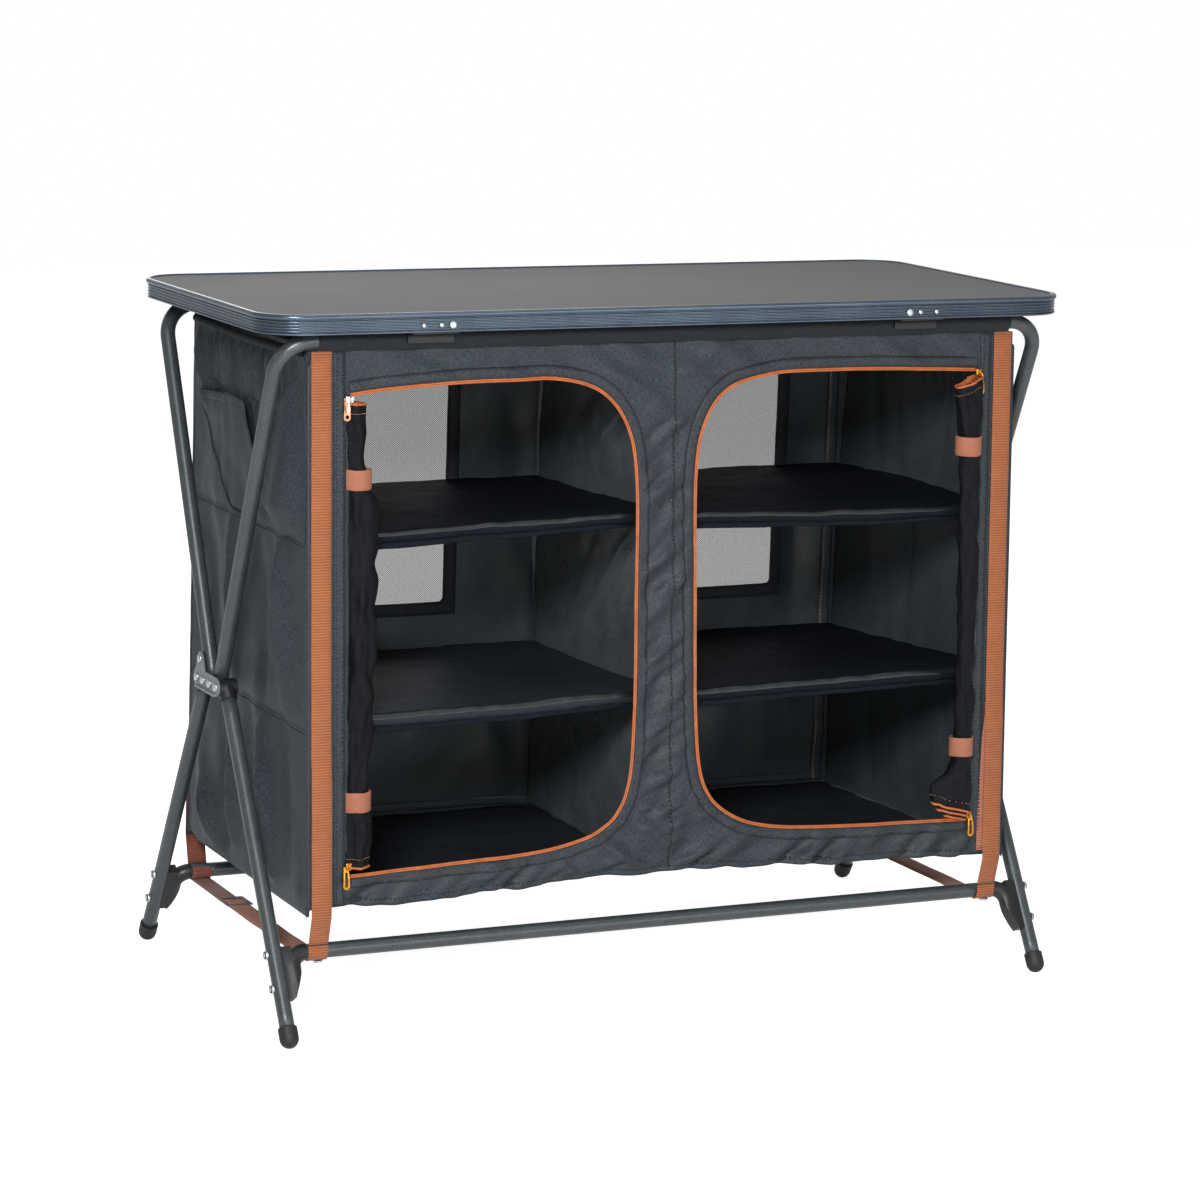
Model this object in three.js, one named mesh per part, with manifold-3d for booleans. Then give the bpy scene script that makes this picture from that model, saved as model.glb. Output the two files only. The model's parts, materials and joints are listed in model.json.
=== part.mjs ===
// Folding camping cupboard: a tabletop on two U-shaped tube frames and four folding legs, with a
// two-column fabric cabinet hung inside the frame. Millimetres, +Z up, the doors face -Y, and the
// origin is on the ground in the middle of the cupboard.

import * as THREE from 'three';
import { mergeVertices } from 'three/addons/utils/BufferGeometryUtils.js';
import Module from 'manifold-3d';

const wasm = await Module();
wasm.setup();

// Overall size and clearances
const topWidth = 1100;
const topDepth = 505;
const topHeight = 890;
const gap = 0.3;
const overrun = 5;

// Edge extrusion of the tabletop
const rimHeight = 25;
const rimWall = 2;
const rimBeadProud = 3.5;
const rimBeadHeight = 7;
const rimFootProud = 1.8;
const rimFootHeight = 3;
const rimRibProud = 1;
const rimRibCount = 4;
const rimLedgeDepth = 9;
const rimLedgeThickness = 2;
const rimBeadFrom = -60;
const rimBeadTo = 90;
const ribCrestShares = [0.25, 0.75];
const ribGrooveShare = 0.5;
const cornerRadius = 60;
const boardThickness = 6;
const boardDrop = 2;

// Tube frame
const tubeRadius = 9.5;
const tubeWall = 1.2;
const frameInset = 28.5;
const pivotHeight = 402;
const upperPivotOut = 12;
const lowerPivotOut = 36;
const crossbarInset = 36.5;
const crossbarBend = 45;
const crossbarDrop = 0.5;
const footOut = 280;
const lowerBarHeight = 103;
const lowerBarShort = 39.5;

// Side hinges
const pinRadius = 3;
const pinClearance = 0.4;
const plateThickness = 2;
const plateMargin = 12;
const plateLobe = 9;
const plateRib = 3;
const linerThickness = 1.2;
const fixedRivetRise = 26;
const pinHeadRadius = 5.5;
const pinHeadHeight = 2;
const knuckleRadius = 10.5;
const socketWall = 1.1;
const socketLength = 17;
const legStart = 11;

// Elbows, bolts and feet
const elbowRadius = 10.5;
const elbowBottom = 53;
const elbowSaddleWidth = 15;
const elbowSaddleWrap = 3.8;
const elbowTaperStart = 22;
const elbowTip = 6;
const spigotLength = 25;
const boltRadius = 2.5;
const boltHeadRadius = 5;
const boltHeadHeight = 3;
const lowerBoltHeight = 66;
const footRadius = 12;
const footTop = 24;
const footFlat = 0.5;

// Brackets that hold the tabletop on the crossbars
const bracketInner = 302;
const bracketWidth = 60;
const bracketWall = 3;
const bracketReach = 14;
const rivetOffsets = [48, 25, 10];
const rivetHeadRadii = [2.75, 2.75, 4.5];
const rivetShankRadius = 1.6;
const rivetHeadHeight = 1.4;
const rivetDrop = 16;
const rearGrip = [-50, 160];
const frontGrip = [-20, 120];

// Fabric cabinet
const cloth = 2;
const sleeveWall = 1;
const sleeveShort = 12;
const cabinetClear = 35.5;
const wallInset = 1;
const wallFlare = 20;
const cabinetBottom = 150;
const cabinetDrop = 12;
const roofDrop = 9;
const panelCorner = 20;
const shelfShort = 14;
const shelfSetback = 20;
const upperShelfDrop = 218;
const upperShelfThickness = 17;
const lowerShelfRise = 248;
const lowerShelfThickness = 20;
const shelfFall = 14;
const floorThickness = 7;
const rearDraw = 6;
const foldDepth = 6;
const foldWaves = 3;
const foldDriftShare = 0.7;
const foldEvenShare = 0.6;
const foldSlantShare = 0.4;
const foldMiddleShare = 0.5;
const foldEdgePower = 4;

// Door openings, rolled doors and zip pulls
const doorMargin = 55;
const doorInner = 50;
const doorDrop = 44;
const doorRise = 54;
const doorTopRadius = 110;
const doorBottomRadius = 118;
const doorBottomRise = 145;
const rollRadius = 16.5;
const rollEndRadius = 10.5;
const rollEndLength = 34;
const rollTieRadius = 15;
const rollTieWidth = 25;
const rollTieRise = 145;
const rollTieDrop = 153;
const rollMargin = 4;
const pullLength = 28;
const pullWidth = 8;
const pullShift = 5;
const upperPullDrop = 9;
const lowerPullRise = 6;
const pullThickness = 1.2;
const pullHole = 2;

// Mesh windows in the rear panel
const windowInner = 124;
const windowMargin = 119;
const windowRise = 294;
const windowDrop = 103;
const windowCorner = 6;
const windowMesh = 0.8;

// Webbing
const webWidth = 26;
const webThickness = 1.5;
const strapInset = 18;
const strapDrop = 2;
const strapHook = 10;
const adjusterNear = 56;
const adjusterLength = 42;
const adjusterWidth = 34;
const adjusterBar = 4;
const adjusterThickness = 2;

// Facets
const tubeSides = 16;
const boreSides = 8;
const pinSides = 10;
const saddleSides = 24;
const bendSteps = 6;
const cornerSteps = 6;
const arcSteps = 8;
const beadSteps = 5;
const footSteps = 6;
const windowSteps = 4;
const hookSteps = 5;
const foldColumns = 14;
const foldRows = 5;

// Places that follow from the sizes above
const sidePlane = topWidth / 2 - frameInset;
const crossbarOut = topDepth / 2 - crossbarInset;
const lowerBarEnd = sidePlane - lowerBarShort;
const rivetPlaces = rivetOffsets.map((offset) => bracketInner + offset);
const rivetHeight = topHeight - rivetDrop;
const crossbarHeight = topHeight - rimHeight - crossbarDrop - tubeRadius;
const cabinetTop = crossbarHeight - cabinetDrop;
const roofHeight = crossbarHeight - roofDrop;
const cabinetHalf = sidePlane - cabinetClear;
const sleeveEnd = cabinetHalf - sleeveShort;
const wallTopOut = crossbarOut - wallInset;
const wallBottomOut = wallTopOut + wallFlare;
const shelfEnd = cabinetHalf - shelfShort;
const upperShelfTop = cabinetTop - upperShelfDrop;
const lowerShelfTop = cabinetBottom + lowerShelfRise;
const doorTop = cabinetTop - doorDrop;
const doorBottom = cabinetBottom + doorRise;
const doorOuter = cabinetHalf - doorMargin;
const rollTieHeights = [cabinetBottom + rollTieRise, cabinetTop - rollTieDrop];
const windowOuter = cabinetHalf - windowMargin;
const windowBottom = cabinetBottom + windowRise;
const windowTop = cabinetTop - windowDrop;
const strapAcross = cabinetHalf - strapInset;
const strapTop = cabinetTop - strapDrop;
const upperRise = crossbarHeight - pivotHeight;
const upperLean = Math.atan2(crossbarOut - upperPivotOut, upperRise);
const upperLength = Math.hypot(crossbarOut - upperPivotOut, upperRise);
const legLean = Math.atan2(footOut - lowerPivotOut, pivotHeight);
const tubeBore = tubeRadius - tubeWall;
const wallLean = Math.atan2(wallBottomOut - wallTopOut, cabinetTop - cabinetBottom);

// Distance down a leg from its pivot to a height above the ground
const downLeg = (height) => (pivotHeight - height) / Math.cos(legLean);
const barDown = downLeg(lowerBarHeight);
const lowerBarOut = lowerPivotOut + Math.sin(legLean) * barDown;
const footDown = downLeg(footRadius - footFlat);

const sides = [['left', -1], ['right', 1]];
const rows = [['front', -1], ['rear', 1]];

// Colours, roughness and metalness
function finish(color, roughness, metalness) {
  return new THREE.MeshStandardMaterial({ color, roughness, metalness });
}

const finishes = {
  laminate: finish(0x84868a, 0.45, 0),
  extrusion: finish(0x3c434c, 0.4, 0.6),
  tube: finish(0x3a3d42, 0.5, 0.5),
  plate: finish(0x4b5058, 0.45, 0.6),
  plastic: finish(0x141416, 0.5, 0),
  rubber: finish(0x17181a, 0.8, 0),
  cloth: finish(0x3f444c, 0.9, 0),
  lining: finish(0x15181a, 0.7, 0),
  mesh: finish(0x2a2d31, 0.9, 0),
  webbing: finish(0xb4673c, 0.85, 0),
  metal: finish(0xb9bcc0, 0.35, 0.9),
  brass: finish(0xd08a3c, 0.4, 0.7),
};

// A closed three.js geometry as a solid that can be joined and cut
function solidOf(geometry) {
  const bare = geometry.clone();
  bare.deleteAttribute('normal');
  bare.deleteAttribute('uv');
  const merged = mergeVertices(bare);
  const index = merged.index.array;
  const kept = [];
  for (let i = 0; i < index.length; i += 3) {
    const [a, b, c] = [index[i], index[i + 1], index[i + 2]];
    if (a !== b && b !== c && c !== a) kept.push(a, b, c);
  }
  const mesh = new wasm.Mesh({
    numProp: 3,
    vertProperties: new Float32Array(merged.attributes.position.array),
    triVerts: new Uint32Array(kept),
  });
  return new wasm.Manifold(mesh);
}

// A solid back as a three.js geometry
function geometryOf(solid) {
  const mesh = solid.getMesh();
  const geometry = new THREE.BufferGeometry();
  geometry.setAttribute('position', new THREE.BufferAttribute(mesh.vertProperties, 3));
  geometry.setIndex(new THREE.BufferAttribute(mesh.triVerts, 1));
  geometry.computeVertexNormals();
  return geometry;
}

const join = (...solids) => solids.reduce((whole, solid) => whole.add(solid));
const cut = (body, ...tools) => tools.reduce((whole, tool) => whole.subtract(tool), body);

function addMesh(parent, name, solid, material) {
  const mesh = new THREE.Mesh(geometryOf(solid), material);
  mesh.name = name;
  parent.add(mesh);
  return mesh;
}

function block(x0, x1, y0, y1, z0, z1) {
  const box = new THREE.BoxGeometry(Math.abs(x1 - x0), Math.abs(y1 - y0), Math.abs(z1 - z0));
  return solidOf(box.translate((x0 + x1) / 2, (y0 + y1) / 2, (z0 + z1) / 2));
}

// Cylinders along each axis, from one place on the axis to another
function rodX(radius, x0, x1, y, z, facets = tubeSides) {
  const rod = new THREE.CylinderGeometry(radius, radius, Math.abs(x1 - x0), facets);
  return solidOf(rod.rotateZ(Math.PI / 2).translate((x0 + x1) / 2, y, z));
}

function rodY(radius, y0, y1, x, z, facets = tubeSides) {
  const rod = new THREE.CylinderGeometry(radius, radius, Math.abs(y1 - y0), facets);
  return solidOf(rod.translate(x, (y0 + y1) / 2, z));
}

function rodZ(radius, z0, z1, x, y, facets = tubeSides) {
  const rod = new THREE.CylinderGeometry(radius, radius, Math.abs(z1 - z0), facets);
  return solidOf(rod.rotateX(Math.PI / 2).translate(x, y, (z0 + z1) / 2));
}

// A prism whose outline lies in the YZ plane, from x0 to x1
function prismX(outline, x0, x1) {
  const shape = new THREE.Shape(outline.map(([y, z]) => new THREE.Vector2(y, z)));
  const prism = new THREE.ExtrudeGeometry(shape, { depth: Math.abs(x1 - x0), bevelEnabled: false });
  const axes = new THREE.Matrix4().makeBasis(
    new THREE.Vector3(0, 1, 0),
    new THREE.Vector3(0, 0, 1),
    new THREE.Vector3(1, 0, 0),
  );
  return solidOf(prism.applyMatrix4(axes).translate(Math.min(x0, x1), 0, 0));
}

// A prism whose shape lies in the XZ plane, from y0 to y1
function prismY(shape, y0, y1) {
  const prism = new THREE.ExtrudeGeometry(shape, { depth: Math.abs(y1 - y0), bevelEnabled: false });
  return solidOf(prism.rotateX(Math.PI / 2).translate(0, Math.max(y0, y1), 0));
}

// Points of an arc about a centre, angles in degrees
function arc(centreA, centreB, radius, from, to, steps = arcSteps) {
  const points = [];
  for (let i = 0; i <= steps; i += 1) {
    const angle = THREE.MathUtils.degToRad(from + ((to - from) * i) / steps);
    points.push([centreA + radius * Math.cos(angle), centreB + radius * Math.sin(angle)]);
  }
  return points;
}

// A stadium outline round two points in the YZ plane
function stadium([ya, za], [yb, zb], radius) {
  const turn = THREE.MathUtils.radToDeg(Math.atan2(zb - za, yb - ya));
  return [...arc(ya, za, radius, turn + 90, turn + 270), ...arc(yb, zb, radius, turn - 90, turn + 90)];
}

function circleShape(radius, facets) {
  const points = [];
  for (let i = 0; i < facets; i += 1) {
    const angle = (2 * Math.PI * i) / facets;
    points.push(new THREE.Vector2(radius * Math.cos(angle), radius * Math.sin(angle)));
  }
  return new THREE.Shape(points);
}

// A flat route through given stations, swept with the stations as its only steps
class Route extends THREE.Curve {
  constructor(stations) {
    super();
    this.stations = stations;
  }

  getPointAt(share) {
    return this.stations[Math.round(share * (this.stations.length - 1))].place.clone();
  }

  getTangentAt(share) {
    return this.stations[Math.round(share * (this.stations.length - 1))].heading.clone();
  }
}

function sweep(stations, radius, facets) {
  const extrudePath = new Route(stations);
  const steps = stations.length - 1;
  const settings = { steps, extrudePath, bevelEnabled: false };
  return solidOf(new THREE.ExtrudeGeometry(circleShape(radius, facets), settings));
}

const station = (x, z, headingX, headingZ) => ({
  place: new THREE.Vector3(x, 0, z),
  heading: new THREE.Vector3(headingX, 0, headingZ).normalize(),
});

// Groups in which a piece of the frame stands straight: the origin is on the pivot line and the
// tube runs along Z
function leaning(y, lean) {
  const group = new THREE.Group();
  group.position.set(0, y, pivotHeight);
  group.rotation.x = lean;
  group.updateMatrix();
  return group;
}

const cupboard = new THREE.Group();

// Tabletop

function rimSection() {
  const rib = (rimHeight - rimBeadHeight - rimFootHeight) / rimRibCount;
  const section = [[rimBeadProud, 0], [rimBeadProud - rimFootProud, rimFootProud / 2]];
  section.push([rimBeadProud - rimFootProud, rimFootHeight - rimFootProud / 2]);
  section.push([rimBeadProud, rimFootHeight]);
  for (let i = 0; i < rimRibCount; i += 1) {
    const low = rimFootHeight + rib * i;
    section.push([rimBeadProud, low + rib * ribCrestShares[0]]);
    section.push([rimBeadProud - rimRibProud, low + rib * ribGrooveShare]);
    section.push([rimBeadProud, low + rib * ribCrestShares[1]]);
  }
  const beadLow = rimHeight - rimBeadHeight;
  section.push([rimBeadProud, beadLow]);
  for (const [out, up] of arc(0, 0, 1, rimBeadFrom, rimBeadTo, beadSteps)) {
    section.push([rimBeadProud * (1 - Math.max(out, 0)), beadLow + (rimBeadHeight * (1 + up)) / 2]);
  }
  const inner = rimBeadProud + rimWall;
  const ledgeTop = rimHeight - boardDrop - boardThickness - gap;
  const ledgeReach = inner + rimLedgeDepth;
  const ledgeLow = ledgeTop - rimLedgeThickness;
  section.push([inner, rimHeight], [inner, ledgeTop], [ledgeReach, ledgeTop]);
  section.push([ledgeReach, ledgeLow], [inner, ledgeLow]);
  section.push([inner, 0]);
  return section;
}

// A section of [inset, height] points carried round a rectangle with round corners
function roundFrame(section, halfWidth, halfDepth, radius) {
  const points = [];
  const corners = [[1, 1], [-1, 1], [-1, -1], [1, -1]];
  corners.forEach(([sx, sy], corner) => {
    for (let i = 0; i <= cornerSteps; i += 1) {
      const angle = (Math.PI / 2) * (corner + i / cornerSteps);
      for (const [inset, height] of section) {
        const reach = radius - inset;
        points.push(sx * (halfWidth - radius) + reach * Math.cos(angle));
        points.push(sy * (halfDepth - radius) + reach * Math.sin(angle), height);
      }
    }
  });
  const count = section.length;
  const rings = points.length / (3 * count);
  const index = [];
  for (let ring = 0; ring < rings; ring += 1) {
    for (let i = 0; i < count; i += 1) {
      const a = ring * count + i;
      const b = ring * count + ((i + 1) % count);
      const c = ((ring + 1) % rings) * count + ((i + 1) % count);
      const d = ((ring + 1) % rings) * count + i;
      index.push(a, d, c, a, c, b);
    }
  }
  const geometry = new THREE.BufferGeometry();
  geometry.setAttribute('position', new THREE.Float32BufferAttribute(points, 3));
  geometry.setIndex(index);
  return solidOf(geometry);
}

function roundedPlate(halfWidth, halfDepth, radius, z0, z1) {
  const points = [];
  const corners = [[1, 1], [-1, 1], [-1, -1], [1, -1]];
  corners.forEach(([sx, sy], corner) => {
    points.push(...arc(sx * (halfWidth - radius), sy * (halfDepth - radius), radius,
      90 * corner, 90 * (corner + 1), cornerSteps));
  });
  const shape = new THREE.Shape(points.map(([x, y]) => new THREE.Vector2(x, y)));
  const plate = new THREE.ExtrudeGeometry(shape, { depth: z1 - z0, bevelEnabled: false });
  return solidOf(plate.translate(0, 0, z0));
}

const rimBase = topHeight - rimHeight;
const rimInner = topDepth / 2 - rimBeadProud - rimWall;
const rimFace = topDepth / 2 - rimBeadProud;
const ledgeUnder = topHeight - boardDrop - boardThickness - gap - rimLedgeThickness;

function addTabletop() {
  const rim = roundFrame(rimSection(), topWidth / 2, topDepth / 2, cornerRadius).translate(0, 0, rimBase);
  const rivetHoles = [];
  for (const [, row] of rows) {
    for (const [, side] of sides) {
      for (const across of rivetPlaces) {
        const hole = rivetShankRadius + gap;
        rivetHoles.push(rodY(hole, row * (rimInner - overrun), row * (rimFace + overrun), side * across,
          rivetHeight, pinSides));
      }
    }
  }
  addMesh(cupboard, 'tabletop_rim', cut(rim, ...rivetHoles), finishes.extrusion);
  const inset = rimBeadProud + rimWall + gap;
  const boardTop = topHeight - boardDrop;
  const board = roundedPlate(topWidth / 2 - inset, topDepth / 2 - inset, cornerRadius - inset,
    boardTop - boardThickness, boardTop);
  addMesh(cupboard, 'tabletop_board', board, finishes.laminate);
}

// A bracket hugs its crossbar between two angles, measured from the outward direction upward, and
// is riveted to the inner face of the edge extrusion
function bracket(row, side, [fromAngle, toAngle]) {
  const innerRadius = tubeRadius + gap + sleeveWall + gap;
  const outerRadius = innerRadius + bracketWall;
  const top = ledgeUnder - gap - crossbarHeight;
  const outer = rimInner - gap - crossbarOut;
  const back = arc(0, 0, outerRadius, fromAngle, toAngle);
  const hook = [...back, ...arc(0, 0, innerRadius, toAngle, fromAngle)];
  const padLow = innerRadius * Math.SQRT1_2;
  const pad = [[-bracketReach, padLow], [outer, padLow], [outer, top], [-bracketReach, top]];
  const place = ([y, z]) => [row * (crossbarOut + y), crossbarHeight + z];
  const x0 = side * bracketInner;
  const x1 = side * (bracketInner + bracketWidth);
  const turned = (outline) => (row > 0 ? outline.map(place) : outline.map(place).reverse());
  const [from, to] = [x0 - side * overrun, x1 + side * overrun];
  const grip = rodX(innerRadius, from, to, row * crossbarOut, crossbarHeight);
  let body = join(cut(prismX(turned(pad), x0, x1), grip), prismX(turned(hook), x0, x1));
  rivetPlaces.forEach((across, i) => {
    const seat = rimFace + rimRibProud + gap;
    const shank = rodY(rivetShankRadius, row * (rimInner - overrun), row * (seat + gap), side * across,
      rivetHeight, pinSides);
    const head = rodY(rivetHeadRadii[i], row * seat, row * (seat + rivetHeadHeight), side * across,
      rivetHeight, pinSides);
    body = join(body, shank, head);
  });
  return body;
}

function addBrackets() {
  for (const [sideName, side] of sides) {
    addMesh(cupboard, `rear_clip_${sideName}`, bracket(1, side, rearGrip), finishes.plastic);
    addMesh(cupboard, `front_catch_${sideName}`, bracket(-1, side, frontGrip), finishes.plastic);
  }
}

// Upper frames

function upperStations() {
  const bendCentre = sidePlane - crossbarBend;
  const bendBase = upperLength - crossbarBend;
  const stations = [station(-sidePlane, -tubeRadius - overrun, 0, 1)];
  for (let i = 0; i <= bendSteps; i += 1) {
    const angle = (Math.PI / 2) * (i / bendSteps);
    const [s, c] = [Math.sin(angle), Math.cos(angle)];
    stations.push(station(-bendCentre - crossbarBend * c, bendBase + crossbarBend * s, s, c));
  }
  for (let i = bendSteps; i >= 0; i -= 1) {
    const angle = (Math.PI / 2) * (i / bendSteps);
    const [s, c] = [Math.sin(angle), Math.cos(angle)];
    stations.push(station(bendCentre + crossbarBend * c, bendBase + crossbarBend * s, s, -c));
  }
  stations.push(station(sidePlane, -tubeRadius - overrun, 0, -1));
  return stations;
}

const fixedRivetUp = fixedRivetRise / Math.cos(upperLean);

function addUpperFrame(rowName, row) {
  const group = leaning(row * upperPivotOut, -row * upperLean);
  const stations = upperStations();
  let frame = cut(sweep(stations, tubeRadius, tubeSides), sweep(stations, tubeBore, boreSides));
  for (const [, side] of sides) {
    const x0 = side * (sidePlane - tubeRadius - overrun);
    const x1 = side * (sidePlane + tubeRadius + overrun);
    const beyond = block(x0, x1, -tubeRadius - overrun, tubeRadius + overrun, -tubeRadius - 2 * overrun, 0);
    const rounded = cut(beyond, rodX(tubeRadius, x0 - side * overrun, x1 + side * overrun, 0, 0));
    frame = cut(frame, rounded, rodX(pinRadius + pinClearance, x0, x1, 0, 0, pinSides));
    if (row > 0) frame = cut(frame, rodX(pinRadius + pinClearance, x0, x1, 0, fixedRivetUp, pinSides));
  }
  addMesh(group, `${rowName}_upper_frame`, frame, finishes.tube);
  cupboard.add(group);
}

// Legs, knuckles, elbows, lower bars and foot caps

const boltDowns = [barDown, downLeg(lowerBoltHeight)];
const elbowAcross = sidePlane - tubeRadius - gap - elbowRadius;

function leg(side) {
  const x = side * sidePlane;
  const end = footDown - gap;
  const hollow = rodZ(tubeBore, -legStart - gap + overrun, -end - overrun, x, 0, boreSides);
  let tube = cut(rodZ(tubeRadius, -legStart - gap, -end, x, 0), hollow);
  for (const down of boltDowns) {
    const reach = tubeRadius + overrun;
    tube = cut(tube, rodX(boltRadius + gap, x - reach, x + reach, 0, -down, pinSides));
  }
  return tube;
}

function knuckle(side) {
  const x = side * sidePlane;
  const half = plateInner() - gap - sidePlane;
  const barrel = rodX(knuckleRadius, x - half, x + half, 0, 0);
  const socket = rodZ(tubeRadius + gap + socketWall, 0, -socketLength, x, 0);
  const bore = rodZ(tubeRadius + gap, -legStart, -socketLength - overrun, x, 0);
  const hole = rodX(pinRadius + pinClearance, x - half - overrun, x + half + overrun, 0, 0, pinSides);
  return cut(join(barrel, socket), bore, hole);
}

function elbow(side) {
  const bend = elbowAcross - lowerBarEnd;
  const bottom = -downLeg(elbowBottom);
  const stations = [station(side * lowerBarEnd, -barDown, side, 0)];
  for (let i = 1; i <= bendSteps; i += 1) {
    const angle = (Math.PI / 2) * (i / bendSteps);
    const [s, c] = [Math.sin(angle), Math.cos(angle)];
    stations.push(station(side * (lowerBarEnd + bend * s), -barDown - bend * (1 - c), side * c, -s));
  }
  stations.push(station(side * elbowAcross, bottom, 0, -1));
  const saddleTo = sidePlane - tubeRadius + elbowSaddleWrap;
  const saddle = block(side * elbowAcross, side * saddleTo, -elbowSaddleWidth / 2, elbowSaddleWidth / 2,
    -barDown + elbowSaddleWidth / 2, bottom);
  const legSpace = rodZ(tubeRadius + gap, -barDown + overrun + elbowSaddleWidth, bottom - overrun,
    side * sidePlane, 0, saddleSides);
  const spigotRadius = (tubeBore - gap) * Math.cos(Math.PI / boreSides);
  const spigotFrom = side * (lowerBarEnd - spigotLength);
  const spigot = rodX(spigotRadius, spigotFrom, side * (lowerBarEnd + gap), 0, -barDown);
  const inside = elbowAcross - elbowRadius;
  const tip = sidePlane - tubeRadius - gap - elbowTip;
  const taperTop = -barDown - elbowTaperStart;
  const taper = new THREE.Shape();
  taper.moveTo(side * inside, taperTop);
  taper.lineTo(side * tip, bottom);
  taper.lineTo(side * tip, bottom - overrun);
  taper.lineTo(side * (inside - overrun), bottom - overrun);
  taper.lineTo(side * (inside - overrun), taperTop);
  taper.closePath();
  const taperSpace = prismY(taper, -elbowRadius - overrun, elbowRadius + overrun);
  let body = join(cut(join(sweep(stations, elbowRadius, tubeSides), saddle), legSpace, taperSpace), spigot);
  const outside = sidePlane + tubeRadius + gap;
  for (const down of boltDowns) {
    const shank = rodX(boltRadius, side * (elbowAcross + gap), side * (outside + gap), 0, -down, pinSides);
    const headTop = side * (outside + boltHeadHeight);
    const head = rodX(boltHeadRadius, side * outside, headTop, 0, -down, pinSides);
    body = join(body, shank, head);
  }
  return body;
}

function footCap(side, group) {
  const x = side * sidePlane;
  const top = downLeg(footTop);
  const dome = arc(0, 0, footRadius, -90, 0, footSteps);
  const profile = dome.map(([r, h]) => new THREE.Vector2(r, h - footDown));
  profile.push(new THREE.Vector2(footRadius, -top), new THREE.Vector2(tubeRadius + gap, -top));
  profile.push(new THREE.Vector2(tubeRadius + gap, -footDown), new THREE.Vector2(0, -footDown));
  profile[0].x = 0;
  const cap = new THREE.LatheGeometry(profile, tubeSides).rotateX(Math.PI / 2).translate(x, 0, 0);
  const ground = new THREE.BoxGeometry(2 * sidePlane + 4 * footRadius, 2 * topDepth, footRadius);
  ground.translate(0, 0, -footRadius / 2).applyMatrix4(group.matrix.clone().invert());
  return cut(solidOf(cap), solidOf(ground));
}

function addLowerFrame(rowName, row) {
  const group = leaning(row * lowerPivotOut, row * legLean);
  for (const [sideName, side] of sides) {
    addMesh(group, `${rowName}_leg_${sideName}`, leg(side), finishes.tube);
    addMesh(group, `${rowName}_knuckle_${sideName}`, knuckle(side), finishes.plastic);
    addMesh(group, `${rowName}_elbow_${sideName}`, elbow(side), finishes.plastic);
    addMesh(group, `${rowName}_foot_${sideName}`, footCap(side, group), finishes.rubber);
  }
  const end = lowerBarEnd - gap;
  const hollow = rodX(tubeBore, -end - overrun, end + overrun, 0, -barDown, boreSides);
  const bar = cut(rodX(tubeRadius, -end, end, 0, -barDown), hollow);
  addMesh(group, `${rowName}_lower_bar`, bar, finishes.tube);
  cupboard.add(group);
}

// Side hinges

function plateInner() {
  return sidePlane + tubeRadius + socketWall + gap + linerThickness + gap;
}

function pivotPlaces() {
  const rise = fixedRivetRise;
  return {
    frontLeg: [-lowerPivotOut, pivotHeight],
    frontUpper: [-upperPivotOut, pivotHeight],
    rearUpper: [upperPivotOut, pivotHeight],
    rearLeg: [lowerPivotOut, pivotHeight],
    fixed: [upperPivotOut + rise * Math.tan(upperLean), pivotHeight + rise],
  };
}

function addHinge(sideName, side) {
  const at = pivotPlaces();
  const inner = plateInner();
  const outer = inner + plateThickness;
  const [x0, x1] = [side * inner, side * outer];
  let plate = prismX(stadium(at.frontLeg, at.rearLeg, plateMargin), x0, x1);
  plate = join(plate, prismX(stadium(at.rearLeg, at.fixed, plateLobe), x0, x1));
  plate = join(plate, prismX(stadium(at.rearUpper, at.fixed, plateLobe), x0, x1));
  plate = join(plate, prismX([at.rearUpper, at.rearLeg, at.fixed], x0, x1));
  plate = join(plate, block(x0, side * (outer + plateRib), -lowerPivotOut, lowerPivotOut,
    pivotHeight - plateMargin, pivotHeight - plateMargin + plateRib));
  const legSeat = 2 * sidePlane - inner;
  const tubeSeat = sidePlane - tubeRadius - gap;
  for (const [name, [y, z]] of Object.entries(at)) {
    const seat = name === 'frontLeg' || name === 'rearLeg' ? legSeat : tubeSeat;
    const shank = rodX(pinRadius, x0, side * (seat - gap), y, z, pinSides);
    const innerHead = rodX(pinHeadRadius - gap, side * seat, side * (seat - pinHeadHeight), y, z, pinSides);
    const outerHead = rodX(pinHeadRadius, x1, side * (outer + pinHeadHeight), y, z, pinSides);
    plate = join(plate, shank, innerHead, outerHead);
  }
  addMesh(cupboard, `hinge_plate_${sideName}`, plate, finishes.plate);
  const linerX = [side * (inner - gap), side * (inner - gap - linerThickness)];
  let liner = prismX(stadium(at.frontUpper, at.rearUpper, tubeRadius + gap), ...linerX);
  liner = join(liner, prismX(stadium(at.rearUpper, at.fixed, plateLobe), ...linerX));
  for (const [y, z] of [at.frontUpper, at.rearUpper, at.fixed]) {
    const [from, to] = [side * (inner + overrun), side * (inner - overrun)];
    liner = cut(liner, rodX(pinRadius + gap, from, to, y, z, pinSides));
  }
  addMesh(cupboard, `hinge_liner_${sideName}`, liner, finishes.plastic);
}

// Fabric cabinet

// Groups in which the front and rear walls stand straight: y = 0 is the outer face at the bottom
function wallGroup(row) {
  const group = new THREE.Group();
  group.position.set(0, row * wallBottomOut, cabinetBottom);
  group.rotation.x = row * wallLean;
  return group;
}

const wallHeight = (height) => (height - cabinetBottom) / Math.cos(wallLean);
const wallOut = (height) => wallBottomOut - (height - cabinetBottom) * Math.tan(wallLean);

function panelShape(half) {
  const top = wallHeight(cabinetTop);
  const shape = new THREE.Shape();
  shape.moveTo(-half, 0);
  shape.lineTo(half, 0);
  shape.lineTo(half, top - panelCorner);
  shape.lineTo(half - panelCorner, top);
  shape.lineTo(panelCorner - half, top);
  shape.lineTo(-half, top - panelCorner);
  shape.closePath();
  return shape;
}

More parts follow.
